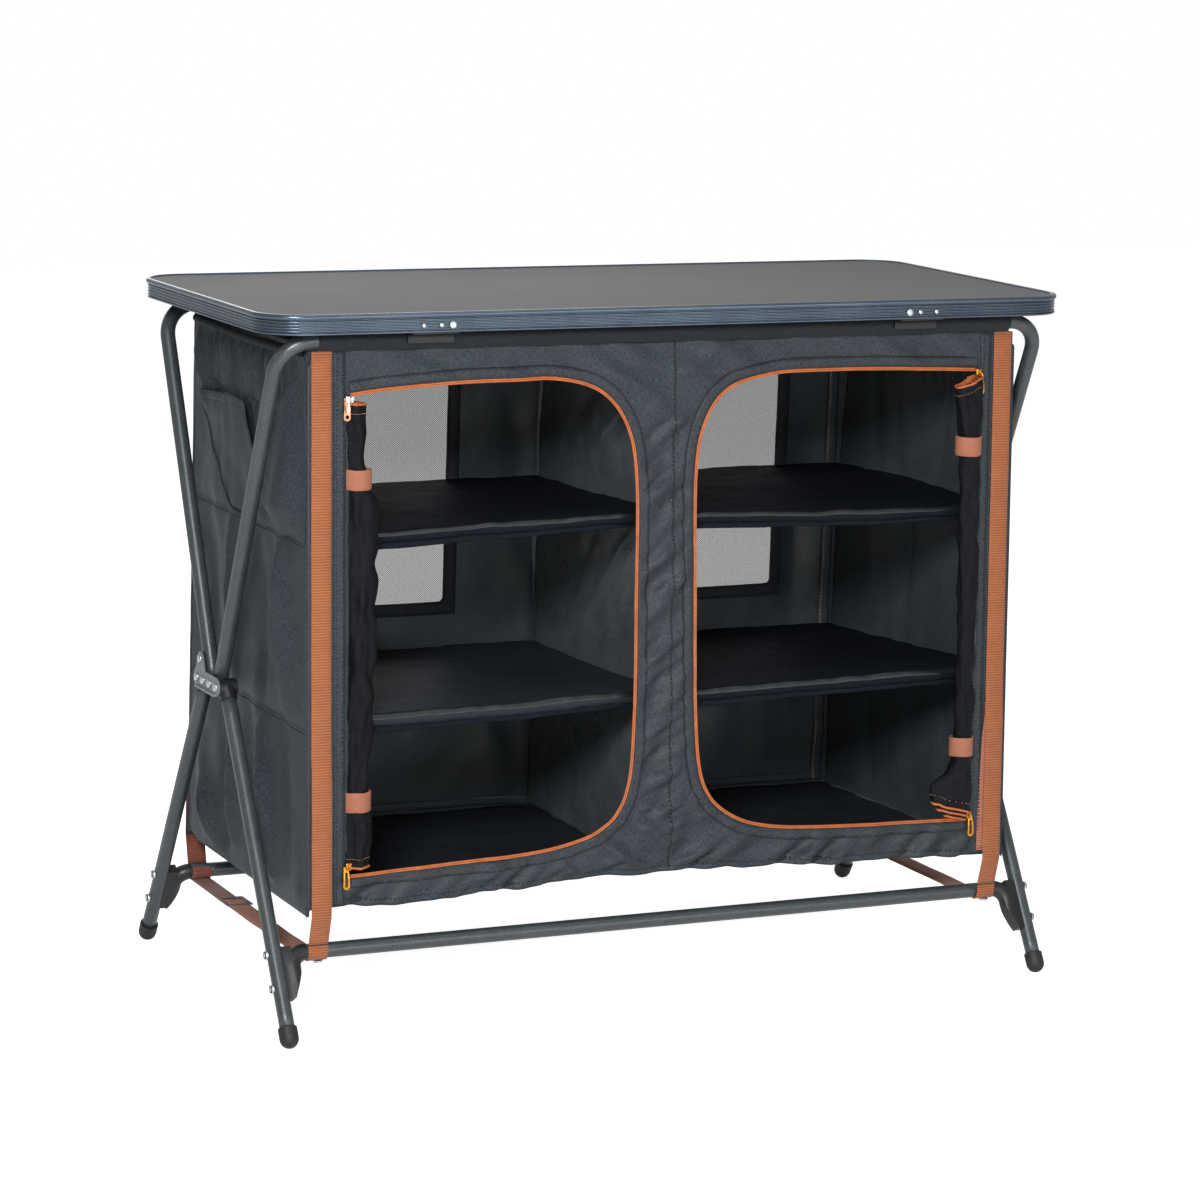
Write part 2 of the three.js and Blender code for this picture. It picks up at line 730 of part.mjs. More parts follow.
function doorHole(side) {
  const [low, high] = [wallHeight(doorBottom), wallHeight(doorTop)];
  const inner = side * doorInner;
  const path = [[side * doorOuter, low]];
  for (let i = 0; i <= arcSteps; i += 1) {
    const angle = (Math.PI / 2) * (i / arcSteps);
    const x = inner + side * doorBottomRadius * (1 - Math.sin(angle));
    path.push([x, low + doorBottomRise * (1 - Math.cos(angle))]);
  }
  for (let i = 0; i <= arcSteps; i += 1) {
    const angle = (Math.PI / 2) * (i / arcSteps);
    const x = inner + side * doorTopRadius * (1 - Math.cos(angle));
    path.push([x, high - doorTopRadius * (1 - Math.sin(angle))]);
  }
  path.push([side * doorOuter, high]);
  return new THREE.Path(path.map(([x, z]) => new THREE.Vector2(x, z)));
}

function windowShape(side, margin) {
  const [low, high] = [wallHeight(windowBottom) + margin, wallHeight(windowTop) - margin];
  const [near, far] = [windowInner + margin, windowOuter - margin];
  const radius = windowCorner - margin;
  const centre = (near + far) / 2;
  const points = [];
  const corners = [[1, 1], [-1, 1], [-1, -1], [1, -1]];
  corners.forEach(([sx, sz], corner) => {
    const cornerX = side * centre + sx * ((far - near) / 2 - radius);
    const cornerZ = (low + high) / 2 + sz * ((high - low) / 2 - radius);
    points.push(...arc(cornerX, cornerZ, radius, 90 * corner, 90 * (corner + 1), windowSteps));
  });
  return points.map(([x, z]) => new THREE.Vector2(x, z));
}

function addFrontWall() {
  const group = wallGroup(-1);
  const shape = panelShape(cabinetHalf);
  for (const [, side] of sides) shape.holes.push(doorHole(side));
  addMesh(group, 'front_panel', prismY(shape, 0, cloth), finishes.cloth);
  for (const [sideName, side] of sides) {
    addMesh(group, `rolled_door_${sideName}`, rolledDoor(side), finishes.cloth);
    addMesh(group, `upper_zip_pull_${sideName}`, zipPull(side, doorTop - upperPullDrop), finishes.brass);
    addMesh(group, `lower_zip_pull_${sideName}`, zipPull(side, doorBottom + lowerPullRise), finishes.brass);
  }
  cupboard.add(group);
}

function rolledDoor(side) {
  const [low, high] = [doorBottom + rollMargin, doorTop - rollMargin];
  const profile = [[0, low], [rollEndRadius, low], [rollRadius, low + rollEndLength]];
  for (const height of rollTieHeights) {
    const half = rollTieWidth / 2;
    profile.push([rollRadius, height - 2 * half], [rollTieRadius, height - half]);
    profile.push([rollTieRadius, height + half], [rollRadius, height + 2 * half]);
  }
  profile.push([rollRadius, high - rollEndLength], [rollEndRadius, high], [0, high]);
  const points = profile.map(([r, height]) => new THREE.Vector2(r, wallHeight(height)));
  const roll = new THREE.LatheGeometry(points, tubeSides).rotateX(Math.PI / 2);
  return solidOf(roll.translate(side * (doorOuter - gap - rollRadius), cloth / 2, 0));
}

function zipPull(side, height) {
  const across = side * (doorOuter + pullShift);
  const top = wallHeight(height);
  const [y0, y1] = [-gap - pullThickness, -gap];
  const tab = block(across - pullWidth / 2, across + pullWidth / 2, y0, y1, top - pullLength, top);
  const holeHeight = top - pullLength + pullWidth / 2;
  return cut(tab, rodY(pullHole, y0 - overrun, y1 + overrun, across, holeHeight, pinSides));
}

function addRearWall() {
  const group = wallGroup(1);
  const shape = panelShape(cabinetHalf - rearDraw);
  for (const [sideName, side] of sides) {
    shape.holes.push(new THREE.Path(windowShape(side, 0)));
    const net = prismY(new THREE.Shape(windowShape(side, gap)), -cloth / 2 - windowMesh / 2,
      -cloth / 2 + windowMesh / 2);
    addMesh(group, `mesh_window_${sideName}`, net, finishes.mesh);
  }
  const notchHeight = tubeRadius + 2 * sleeveWall + bracketWall;
  let panel = prismY(shape, -cloth, 0);
  for (const [, side] of sides) {
    const top = wallHeight(cabinetTop);
    const [from, to] = [bracketInner - gap - overrun, bracketInner + bracketWidth + overrun];
    panel = cut(panel, block(side * from, side * to, -cloth - overrun, overrun,
      top - notchHeight, top + overrun));
  }
  addMesh(group, 'rear_panel', panel, finishes.cloth);
  cupboard.add(group);
}

// A side panel hangs in soft upright folds between its seams, and is drawn in towards the rear
function sidePanel(side) {
  const seams = [cabinetBottom, lowerShelfTop - lowerShelfThickness / 2,
    upperShelfTop - upperShelfThickness / 2, cabinetTop - cloth];
  const heights = [];
  for (let bay = 0; bay < seams.length - 1; bay += 1) {
    for (let i = 0; i < foldRows; i += 1) heights.push([bay, i / foldRows]);
  }
  heights.push([seams.length - 2, 1]);
  const skins = [cabinetHalf, cabinetHalf - cloth];
  const points = [];
  for (const skin of skins) {
    for (const [bay, share] of heights) {
      const z = seams[bay] + (seams[bay + 1] - seams[bay]) * share;
      const reach = wallOut(z) - cloth - 2 * gap;
      for (let i = 0; i <= foldColumns; i += 1) {
        const across = -1 + (2 * i) / foldColumns;
        const calm = Math.sin(Math.PI * share) * (1 - across ** foldEdgePower);
        const turn = Math.PI * (foldWaves * across + share + foldDriftShare * bay);
        const wave = Math.cos(turn) * (foldEvenShare + foldSlantShare * across);
        const fold = foldDepth * calm * (foldMiddleShare + foldMiddleShare * wave);
        const draw = rearDraw * (1 + across) / 2;
        points.push(side * (skin - fold - draw), across * reach, z);
      }
    }
  }
  return gridSlab(points, foldColumns + 1, heights.length, side);
}

// Two grids of points, an outer and an inner skin, closed round their edges
function gridSlab(points, across, up, side) {
  const layer = across * up;
  const index = [];
  const quad = (a, b, c, d) => (side > 0 ? index.push(a, b, c, a, c, d) : index.push(a, c, b, a, d, c));
  for (let row = 0; row < up - 1; row += 1) {
    for (let i = 0; i < across - 1; i += 1) {
      const at = row * across + i;
      quad(at, at + 1, at + across + 1, at + across);
      quad(layer + at + across, layer + at + across + 1, layer + at + 1, layer + at);
    }
  }
  const edge = (a, b) => quad(b, a, a + layer, b + layer);
  for (let i = 0; i < across - 1; i += 1) {
    edge(i, i + 1);
    edge((up - 1) * across + i + 1, (up - 1) * across + i);
  }
  for (let row = 0; row < up - 1; row += 1) {
    edge((row + 1) * across, row * across);
    edge(row * across + across - 1, (row + 1) * across + across - 1);
  }
  const geometry = new THREE.BufferGeometry();
  geometry.setAttribute('position', new THREE.Float32BufferAttribute(points, 3));
  geometry.setIndex(index);
  return solidOf(geometry);
}

// The space outside the side panels, where they are drawn in towards the rear
function drawnSpace(side, end, reach, z0, z1) {
  const shape = new THREE.Shape();
  shape.moveTo(side * end, -reach);
  shape.lineTo(side * (end + overrun), -reach);
  shape.lineTo(side * (end + overrun), reach + overrun);
  shape.lineTo(side * (end - rearDraw), reach + overrun);
  shape.lineTo(side * (end - rearDraw), reach);
  shape.closePath();
  const space = new THREE.ExtrudeGeometry(shape, { depth: z1 - z0, bevelEnabled: false });
  return solidOf(space.translate(0, 0, z0));
}

// A padded board with a round front edge, that sinks towards the rear, its front top at a height
function shelf(side, near, top, thickness) {
  const half = thickness / 2;
  const front = -(wallOut(top) - cloth - shelfSetback);
  const back = wallOut(top) - cloth - gap - thickness * Math.tan(wallLean);
  const outline = arc(front + half, top - half, half, 90, 270);
  outline.push([back, top - thickness - shelfFall], [back, top - shelfFall]);
  const space = drawnSpace(side, shelfEnd, back, top - thickness - 2 * shelfFall, top + overrun);
  return cut(prismX(outline, side * near, side * shelfEnd), space);
}

function addCabinet() {
  for (const [sideName, side] of sides) {
    addMesh(cupboard, `side_panel_${sideName}`, sidePanel(side), finishes.cloth);
    const near = cloth / 2 + gap;
    addMesh(cupboard, `upper_shelf_${sideName}`,
      shelf(side, near, upperShelfTop, upperShelfThickness), finishes.lining);
    addMesh(cupboard, `lower_shelf_${sideName}`,
      shelf(side, near, lowerShelfTop, lowerShelfThickness), finishes.lining);
  }
  const floorTop = cabinetBottom + floorThickness;
  const floorReach = wallOut(cabinetBottom + floorThickness) - cloth - gap;
  const floorSide = cabinetHalf - cloth - foldDepth - gap;
  let floor = block(-floorSide, floorSide, -floorReach, floorReach, cabinetBottom, floorTop);
  for (const [, side] of sides) {
    floor = cut(floor, drawnSpace(side, floorSide, floorReach, cabinetBottom - overrun, floorTop + overrun));
  }
  addMesh(cupboard, 'cabinet_floor', floor, finishes.lining);
  const roofReach = crossbarOut - tubeRadius - 2 * gap - sleeveWall;
  const [low, high] = [floorTop + gap, roofHeight - gap];
  const [lowReach, highReach] = [wallOut(low) - cloth - gap, wallOut(cabinetTop) - cloth - gap];
  const rearHalf = [[lowReach, low], [highReach, cabinetTop], [roofReach, cabinetTop], [roofReach, high]];
  const frontHalf = rearHalf.map(([y, z]) => [-y, z]).reverse();
  const divider = prismX([...rearHalf, ...frontHalf], -cloth / 2, cloth / 2);
  addMesh(cupboard, 'centre_divider', divider, finishes.lining);
  addMesh(cupboard, 'cabinet_roof',
    block(-sleeveEnd, sleeveEnd, -roofReach, roofReach, roofHeight, roofHeight + cloth), finishes.cloth);
  for (const [rowName, row] of rows) {
    const sleeve = cut(
      rodX(tubeRadius + gap + sleeveWall, -sleeveEnd, sleeveEnd, row * crossbarOut, crossbarHeight),
      rodX(tubeRadius + gap, -sleeveEnd - overrun, sleeveEnd + overrun, row * crossbarOut, crossbarHeight),
    );
    addMesh(cupboard, `${rowName}_sleeve`, sleeve, finishes.cloth);
  }
}

// Webbing

function wallStrap(row, side) {
  const inner = (height) => wallOut(height) + gap;
  const seat = lowerBarOut + tubeRadius + gap;
  const low = lowerBarHeight + strapHook + gap;
  const outline = [[seat, low], [inner(cabinetBottom), cabinetBottom], [inner(strapTop), strapTop],
    [inner(strapTop) + webThickness, strapTop], [inner(cabinetBottom) + webThickness, cabinetBottom],
    [seat + webThickness, low]].map(([y, z]) => [row * y, z]);
  return prismX(row > 0 ? outline.reverse() : outline, side * (strapAcross - webWidth / 2),
    side * (strapAcross + webWidth / 2));
}

function bottomStrap(side) {
  const [near, far] = [tubeRadius + gap, tubeRadius + gap + webThickness];
  const hookTop = lowerBarHeight + strapHook;
  const outline = [
    [-lowerBarOut - near, hookTop], [-lowerBarOut - far, hookTop],
    ...arc(-lowerBarOut, lowerBarHeight, far, 180, 270, hookSteps),
    ...arc(lowerBarOut, lowerBarHeight, far, 270, 360, hookSteps),
    [lowerBarOut + far, hookTop], [lowerBarOut + near, hookTop],
    ...arc(lowerBarOut, lowerBarHeight, near, 360, 270, hookSteps),
    ...arc(-lowerBarOut, lowerBarHeight, near, 270, 180, hookSteps),
  ];
  return prismX(outline, side * (strapAcross - webWidth / 2), side * (strapAcross + webWidth / 2));
}

function adjuster(side) {
  const low = lowerBarHeight - tubeRadius;
  const y1 = adjusterNear + adjusterLength;
  const half = adjusterWidth / 2;
  const plate = block(side * (strapAcross - half), side * (strapAcross + half), adjusterNear, y1,
    low, low + adjusterThickness);
  const slots = [0, 1].map((i) => {
    const slot = (adjusterLength - 3 * adjusterBar) / 2;
    const from = adjusterNear + adjusterBar + i * (slot + adjusterBar);
    return block(side * (strapAcross - half + adjusterBar), side * (strapAcross + half - adjusterBar),
      from, from + slot, low - overrun, low + overrun);
  });
  return cut(plate, ...slots);
}

function addWebbing() {
  for (const [sideName, side] of sides) {
    addMesh(cupboard, `front_strap_${sideName}`, wallStrap(-1, side), finishes.webbing);
    addMesh(cupboard, `rear_strap_${sideName}`, wallStrap(1, side), finishes.webbing);
    addMesh(cupboard, `bottom_strap_${sideName}`, bottomStrap(side), finishes.webbing);
    addMesh(cupboard, `strap_adjuster_${sideName}`, adjuster(side), finishes.metal);
  }
}

addTabletop();
addBrackets();
for (const [rowName, row] of rows) {
  addUpperFrame(rowName, row);
  addLowerFrame(rowName, row);
}
for (const [sideName, side] of sides) addHinge(sideName, side);
addFrontWall();
addRearWall();
addCabinet();
addWebbing();

export default cupboard;
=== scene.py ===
"""Folding camping cupboard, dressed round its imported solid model.

Every sub-assembly is a class that keeps its sizes in metres and builds its own pieces. Places are
those of the solid model: X runs along the tabletop, the doors face -Y and the feet stand at Z = 0.
"""

from __future__ import annotations

import json
import logging
import math
from dataclasses import dataclass
from enum import Enum
from typing import Callable, Iterable, Sequence

import bmesh
import bpy
from mathutils import Matrix, Vector, noise

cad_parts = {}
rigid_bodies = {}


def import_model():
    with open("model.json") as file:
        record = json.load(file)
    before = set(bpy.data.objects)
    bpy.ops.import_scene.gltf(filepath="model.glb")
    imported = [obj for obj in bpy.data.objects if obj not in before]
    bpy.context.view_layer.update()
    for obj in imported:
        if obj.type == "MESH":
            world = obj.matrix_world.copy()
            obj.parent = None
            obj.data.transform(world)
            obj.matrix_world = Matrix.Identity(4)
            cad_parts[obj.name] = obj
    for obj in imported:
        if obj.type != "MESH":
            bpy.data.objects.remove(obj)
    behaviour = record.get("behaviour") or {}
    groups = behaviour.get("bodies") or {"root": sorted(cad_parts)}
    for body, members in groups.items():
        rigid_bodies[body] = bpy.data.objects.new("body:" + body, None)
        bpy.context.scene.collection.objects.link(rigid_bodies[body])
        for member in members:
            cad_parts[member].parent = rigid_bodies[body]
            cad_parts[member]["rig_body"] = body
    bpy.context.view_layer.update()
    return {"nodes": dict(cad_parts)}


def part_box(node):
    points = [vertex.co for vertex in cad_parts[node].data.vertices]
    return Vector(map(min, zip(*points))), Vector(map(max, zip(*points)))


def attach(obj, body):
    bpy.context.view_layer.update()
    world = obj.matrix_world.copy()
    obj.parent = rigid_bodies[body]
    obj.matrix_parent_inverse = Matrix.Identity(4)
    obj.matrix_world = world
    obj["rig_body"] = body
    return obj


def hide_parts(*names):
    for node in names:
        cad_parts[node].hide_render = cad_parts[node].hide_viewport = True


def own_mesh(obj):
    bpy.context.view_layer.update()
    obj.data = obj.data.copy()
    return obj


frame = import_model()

LOG = logging.getLogger("cupboard")
Flat = tuple[float, float]
Colour = tuple[float, float, float, float]
Line = Sequence[Flat]
Route = Sequence[Vector]
Hang = Callable[[float, float], Vector]
Height = Callable[[float, float], float]
Mesh = bmesh.types.BMesh
Piece = bpy.types.Object
Socket = bpy.types.NodeSocket

ACROSS = Vector((1, 0, 0))
BACK = Vector((0, 1, 0))
UP = Vector((0, 0, 1))


class Slot(Enum):
    """Finish slots of the record, one named for each piece."""

    LAMINATE = "laminate"
    EXTRUSION = "edge_extrusion"
    TUBE = "tube_coat"
    PLATE = "plate_coat"
    PLASTIC = "black_plastic"
    RUBBER = "rubber"
    CLOTH = "cabinet_cloth"
    LINING = "lining_cloth"
    NET = "window_mesh"
    WEBBING = "webbing"
    METAL = "bare_metal"
    ORANGE = "orange_metal"


class Body(Enum):
    """Bodies of the solid model that pieces ride on."""

    FRONT_LEGS = "front_lower_frame"
    REAR_LEGS = "rear_lower_frame"
    FRONT_TUBE = "front_upper_frame"
    REAR_TUBE = "rear_upper_frame"
    TABLETOP = "tabletop"
    CABINET = "cabinet"
    FRONT_WALL = "front_wall"
    REAR_WALL = "rear_wall"
    ADJUSTERS = "strap_adjusters"


class Side(Enum):
    """Left and right as seen from the front."""

    LEFT = -1
    RIGHT = 1

    @property
    def word(self) -> str:
        """The side's name as the solid model writes it."""
        return self.name.lower()


class Row(Enum):
    """Front and rear of the cupboard."""

    FRONT = -1
    REAR = 1

    @property
    def word(self) -> str:
        """The row's name as the solid model writes it."""
        return self.name.lower()

    @property
    def legs(self) -> Body:
        """The row's lower frame."""
        return Body.FRONT_LEGS if self is Row.FRONT else Body.REAR_LEGS

    @property
    def tube(self) -> Body:
        """The row's upper frame."""
        return Body.FRONT_TUBE if self is Row.FRONT else Body.REAR_TUBE

    @property
    def wall(self) -> Body:
        """The row's cloth wall."""
        return Body.FRONT_WALL if self is Row.FRONT else Body.REAR_WALL


# Small sums


def clamp(value: float, low: float = 0.0, high: float = 1.0) -> float:
    """The value, kept between two limits."""
    return max(low, min(high, value))


def ease(share: float) -> float:
    """A share from 0 to 1 that starts and ends gently."""
    share = clamp(share)
    return share * share * (3 - 2 * share)


def mix(start: float, end: float, share: float) -> float:
    """The value at a share of the way from start to end."""
    return start + (end - start) * share


def spaced(start: float, end: float, steps: int) -> list[float]:
    """Even values from start to end, both among them."""
    return [mix(start, end, k / steps) for k in range(steps + 1)]


def ripple(x: float, y: float, size: float, seed: float) -> float:
    """Smooth noise from -1 to 1 whose features are about size across."""
    return noise.noise(Vector((x / size, y / size, seed)))


def srgb(code: str) -> Colour:
    """A colour written as six hexadecimal digits, as linear light."""
    parts = [int(code[i:i + 2], 16) / 255 for i in (0, 2, 4)]
    linear = [p / 12.92 if p <= 0.04045 else ((p + 0.055) / 1.055) ** 2.4 for p in parts]
    return (linear[0], linear[1], linear[2], 1.0)


# Finishes


class Graph:
    """The node tree of one material or world, with short calls for the nodes that they share."""

    def __init__(self, name: str, world: bool = False) -> None:
        """Starts a tree with nothing but its output.

        Args:
            name: the name of the material or world.
            world: True for a world.
        """
        self.material = (bpy.data.worlds if world else bpy.data.materials).new(name)
        self.material.use_nodes = True
        self.tree = self.material.node_tree
        self.tree.nodes.clear()
        self.output = self.tree.nodes.new("ShaderNodeOutputWorld" if world else "ShaderNodeOutputMaterial")

    def put(self, socket: Socket, value: object) -> None:
        """Joins a socket to another one, or gives it a plain value."""
        if isinstance(value, Socket):
            self.tree.links.new(value, socket)
        else:
            socket.default_value = value

    def node(self, kind: str, inputs: dict[object, object], **settings: object) -> bpy.types.Node:
        """Adds a node.

        Args:
            kind: the node's type.
            inputs: values or sockets by the name or number of the input.
            settings: the node's own properties.

        Returns:
            The new node.
        """
        node = self.tree.nodes.new(kind)
        for name, value in settings.items():
            setattr(node, name, value)
        for key, value in inputs.items():
            self.put(node.inputs[key], value)
        return node

    def math(self, operation: str, a: object, b: object = 0.0, c: object = 0.0) -> Socket:
        """A sum of two or three values."""
        return self.node("ShaderNodeMath", {0: a, 1: b, 2: c}, operation=operation).outputs[0]

    def blend(self, share: object, a: object, b: object) -> Socket:
        """A colour between a and b."""
        inputs = {"Factor": share, "A": a, "B": b}
        node = self.tree.nodes.new("ShaderNodeMix")
        node.data_type = "RGBA"
        for socket in node.inputs:
            if socket.enabled and socket.name in inputs:
                self.put(socket, inputs[socket.name])
        return next(s for s in node.outputs if s.enabled)

    def spread(self, value: object, low: float, high: float, start: float = 0.0,
               end: float = 1.0) -> Socket:
        """The value carried from low..high to start..end, and held at those."""
        inputs = {"Value": value, "From Min": low, "From Max": high, "To Min": start, "To Max": end}
        return self.node("ShaderNodeMapRange", inputs, clamp=True).outputs["Result"]

    def place(self, kind: str, scale: Sequence[float] = (1, 1, 1),
              turn: Sequence[float] = (0, 0, 0)) -> Socket:
        """Object or UV coordinates in metres, scaled and turned.

        Args:
            kind: "Object" or "UV".
            scale: how often each axis repeats a metre.
            turn: turns about the axes, in radians.

        Returns:
            The coordinates.
        """
        here = self.node("ShaderNodeTexCoord", {}).outputs[kind]
        inputs = {"Vector": here, "Rotation": tuple(turn), "Scale": tuple(scale)}
        return self.node("ShaderNodeMapping", inputs, vector_type="POINT").outputs[0]

    def noise(self, where: object, scale: float, detail: float = 2.0, rough: float = 0.5) -> Socket:
        """Soft noise from 0 to 1."""
        inputs = {"Vector": where, "Scale": scale, "Detail": detail, "Roughness": rough}
        return self.node("ShaderNodeTexNoise", inputs).outputs[0]

    def wave(self, where: object, period: float, axis: str, distortion: float = 0.0) -> Socket:
        """Straight bands from 0 to 1 that repeat at a period along an axis."""
        inputs = {"Vector": where, "Scale": math.pi / 10 / period, "Distortion": distortion,
                  "Detail Scale": 2.0}
        return self.node("ShaderNodeTexWave", inputs, bands_direction=axis).outputs["Fac"]

    def bump(self, height: object, distance: float, strength: float = 1.0,
             under: object = None) -> Socket:
        """A bumped normal, laid over another where one is given."""
        inputs = {"Height": height, "Distance": distance, "Strength": strength}
        if under is not None:
            inputs["Normal"] = under
        return self.node("ShaderNodeBump", inputs).outputs[0]

    def worn_edges(self, radius: float, low: float, high: float) -> Socket:
        """1 along sharp outer edges and 0 away from them."""
        bevel = self.node("ShaderNodeBevel", {"Radius": radius}, samples=4).outputs[0]
        normal = self.node("ShaderNodeNewGeometry", {}).outputs["Normal"]
        dot = self.node("ShaderNodeVectorMath", {0: bevel, 1: normal}, operation="DOT_PRODUCT")
        return self.spread(dot.outputs["Value"], high, low)

    def scaled(self, colour: object, share: object) -> Socket:
        """A colour made darker or brighter."""
        return self.node("ShaderNodeVectorMath", {0: colour, 3: share}, operation="SCALE").outputs[0]

    def rubbed(self, radius: float, high: float, grain: Socket, low: float) -> Socket:
        """Where sharp edges are worn, broken up by a grain."""
        return self.math("MULTIPLY", self.worn_edges(radius, 0.8, high), self.spread(grain, low, 0.7))

    def surface(self, colour: object, rough: object, normal: object = None,
                **extra: object) -> bpy.types.Material:
        """Ends the tree in one shader.

        Args:
            colour: base colour.
            rough: roughness.
            normal: the bumped normal.
            extra: other sockets of the shader, their names with underscores for spaces.

        Returns:
            The material.
        """
        inputs = {"Base Color": colour, "Roughness": rough}
        if normal is not None:
            inputs["Normal"] = normal
        inputs.update({key.replace("_", " "): value for key, value in extra.items()})
        shader = self.node("ShaderNodeBsdfPrincipled", inputs)
        self.put(self.output.inputs["Surface"], shader.outputs[0])
        return self.material


@dataclass(frozen=True)
class Finish:
    """A named finish. Each kind draws its own nodes."""

    name: str
    colour: str

    def draw(self) -> bpy.types.Material:
        """Draws the material."""
        raise NotImplementedError

    def material(self) -> bpy.types.Material:
        """The finish's material, drawn the first time it is asked for."""
        return bpy.data.materials.get(self.name) or self.draw()


@dataclass(frozen=True)
class Cloth(Finish):
    """Woven polyester in two thread colours, on the piece's own UV map in metres."""

    dark: str = "2c3138"
    pale: str = "6b7078"
    thread: float = 0.0012
    slub: float = 0.55
    rough: float = 0.82
    sheen: float = 0.04
    gloss: float = 0.25
    weave_depth: float = 0.00012
    crumple: float = 0.0009

    def draw(self) -> bpy.types.Material:
        """Draws crossing threads, slubs, a mottled tone and small crumples."""
        g = Graph(self.name)
        across = g.place("UV", (1 / (self.thread * 5), 1 / self.thread, 1))
        along = g.place("UV", (1 / self.thread, 1 / (self.thread * 5), 1))
        flat = g.place("UV")
        weft = g.noise(across, 1.0, 2.0, 0.6)
        warp = g.noise(along, 1.0, 2.0, 0.6)
        thread = g.math("ADD", g.math("MULTIPLY", weft, 0.5), g.math("MULTIPLY", warp, 0.5))
        fleck = g.spread(thread, 0.37, 0.63)
        mottle = g.noise(flat, 26.0, 4.0, 0.6)
        tone = g.blend(fleck, srgb(self.dark), srgb(self.pale))
        heather = g.blend(self.slub, srgb(self.colour), tone)
        shade = g.spread(mottle, 0.3, 0.7, 0.93, 1.07)
        colour = g.scaled(heather, shade)
        warp_ribs = g.wave(flat, 2 * self.thread, "X")
        weft_ribs = g.wave(flat, 2 * self.thread, "Y")
        weave = g.bump(g.math("MULTIPLY", warp_ribs, weft_ribs), self.weave_depth, 0.6)
        slubs = g.bump(fleck, self.weave_depth, 0.5, weave)
        crumples = g.noise(g.place("UV", (34.0, 15.0, 1.0), (0, 0, 0.6)), 1.0, 4.0, 0.5)
        normal = g.bump(crumples, self.crumple, 0.5, slubs)
        rough = g.spread(mottle, 0.2, 0.8, self.rough - 0.06, self.rough + 0.06)
        return g.surface(colour, rough, normal, Sheen_Weight=self.sheen, Sheen_Roughness=0.5,
                         Specular_IOR_Level=self.gloss)


@dataclass(frozen=True)
class PowderCoat(Finish):
    """Powder-coated steel with a fine speckle and orange peel."""

    speck: str = "6d7678"
    bare: str = "7d8487"
    rough: float = 0.42

    def draw(self) -> bpy.types.Material:
        """Draws speckle, a slow change of tone, orange peel and rubbed edges."""
        g = Graph(self.name)
        here = g.place("Object")
        speck = g.spread(g.noise(here, 750.0, 2.0, 0.6), 0.52, 0.70)
        tone = g.spread(g.noise(here, 9.0, 3.0, 0.6), 0.3, 0.7, 0.0, 0.35)
        colour = g.blend(g.math("MULTIPLY", speck, 0.5), srgb(self.colour), srgb(self.speck))
        colour = g.blend(g.math("MULTIPLY", tone, 0.3), colour, srgb(self.speck))
        rubbed = g.rubbed(0.0008, 0.97, g.noise(here, 120.0), 0.45)
        colour = g.blend(rubbed, colour, srgb(self.bare))
        peel = g.bump(g.noise(here, 900.0, 2.0, 0.5), 0.0001, 0.5)
        normal = g.bump(g.noise(here, 60.0, 2.0, 0.5), 0.0002, 0.3, peel)
        rough = g.spread(g.noise(here, 40.0, 4.0, 0.6), 0.25, 0.75, self.rough - 0.07, self.rough + 0.1)
        return g.surface(colour, rough, normal, Specular_IOR_Level=0.55)


@dataclass(frozen=True)
class Anodised(Finish):
    """Slate-blue anodised aluminium drawn through a die along its length."""

    rub: str = "8c98a4"

    def draw(self) -> bpy.types.Material:
        """Draws die lines, a cloudy tone and rubbed ribs."""
        g = Graph(self.name)
        lines = g.place("Object", (2.0, 2.0, 900.0))
        here = g.place("Object")
        die = g.noise(lines, 1.0, 4.0, 0.7)
        cloud = g.spread(g.noise(here, 14.0, 3.0, 0.6), 0.3, 0.7)
        colour = g.blend(g.math("MULTIPLY", cloud, 0.2), srgb(self.colour), srgb(self.rub))
        rubbed = g.rubbed(0.0006, 0.98, g.noise(here, 90.0), 0.35)
        colour = g.blend(g.math("MULTIPLY", rubbed, 0.6), colour, srgb(self.rub))
        normal = g.bump(die, 0.00008, 0.5)
        rough = g.spread(die, 0.3, 0.7, 0.17, 0.28)
        return g.surface(colour, rough, normal, Metallic=0.85, Anisotropic=0.3)


@dataclass(frozen=True)
class Laminate(Finish):
    """Matt decorative laminate with faint long streaks."""

    streak: str = "949494"

    def draw(self) -> bpy.types.Material:
        """Draws streaks along the top, a fine tooth and faint scuffs."""
        g = Graph(self.name)
        streaks = g.noise(g.place("Object", (3.0, 160.0, 1.0)), 1.0, 4.0, 0.65)
        here = g.place("Object")
        cloud = g.noise(here, 5.0, 3.0, 0.5)
        share = g.math("ADD", g.spread(streaks, 0.3, 0.7, 0.0, 0.5), g.spread(cloud, 0.3, 0.7, 0.0, 0.3))
        colour = g.blend(share, srgb(self.colour), srgb(self.streak))
        scuff = g.spread(g.noise(g.place("Object", (40.0, 400.0, 1.0), (0, 0, 0.5)), 1.0, 3.0), 0.62, 0.75)
        tooth = g.bump(g.noise(here, 1600.0, 2.0, 0.6), 0.00006, 0.5)
        rough = g.math("SUBTRACT", g.spread(cloud, 0.2, 0.8, 0.5, 0.6), g.math("MULTIPLY", scuff, 0.08))
        return g.surface(colour, g.math("ADD", rough, 0.15), tooth, Specular_IOR_Level=0.12)


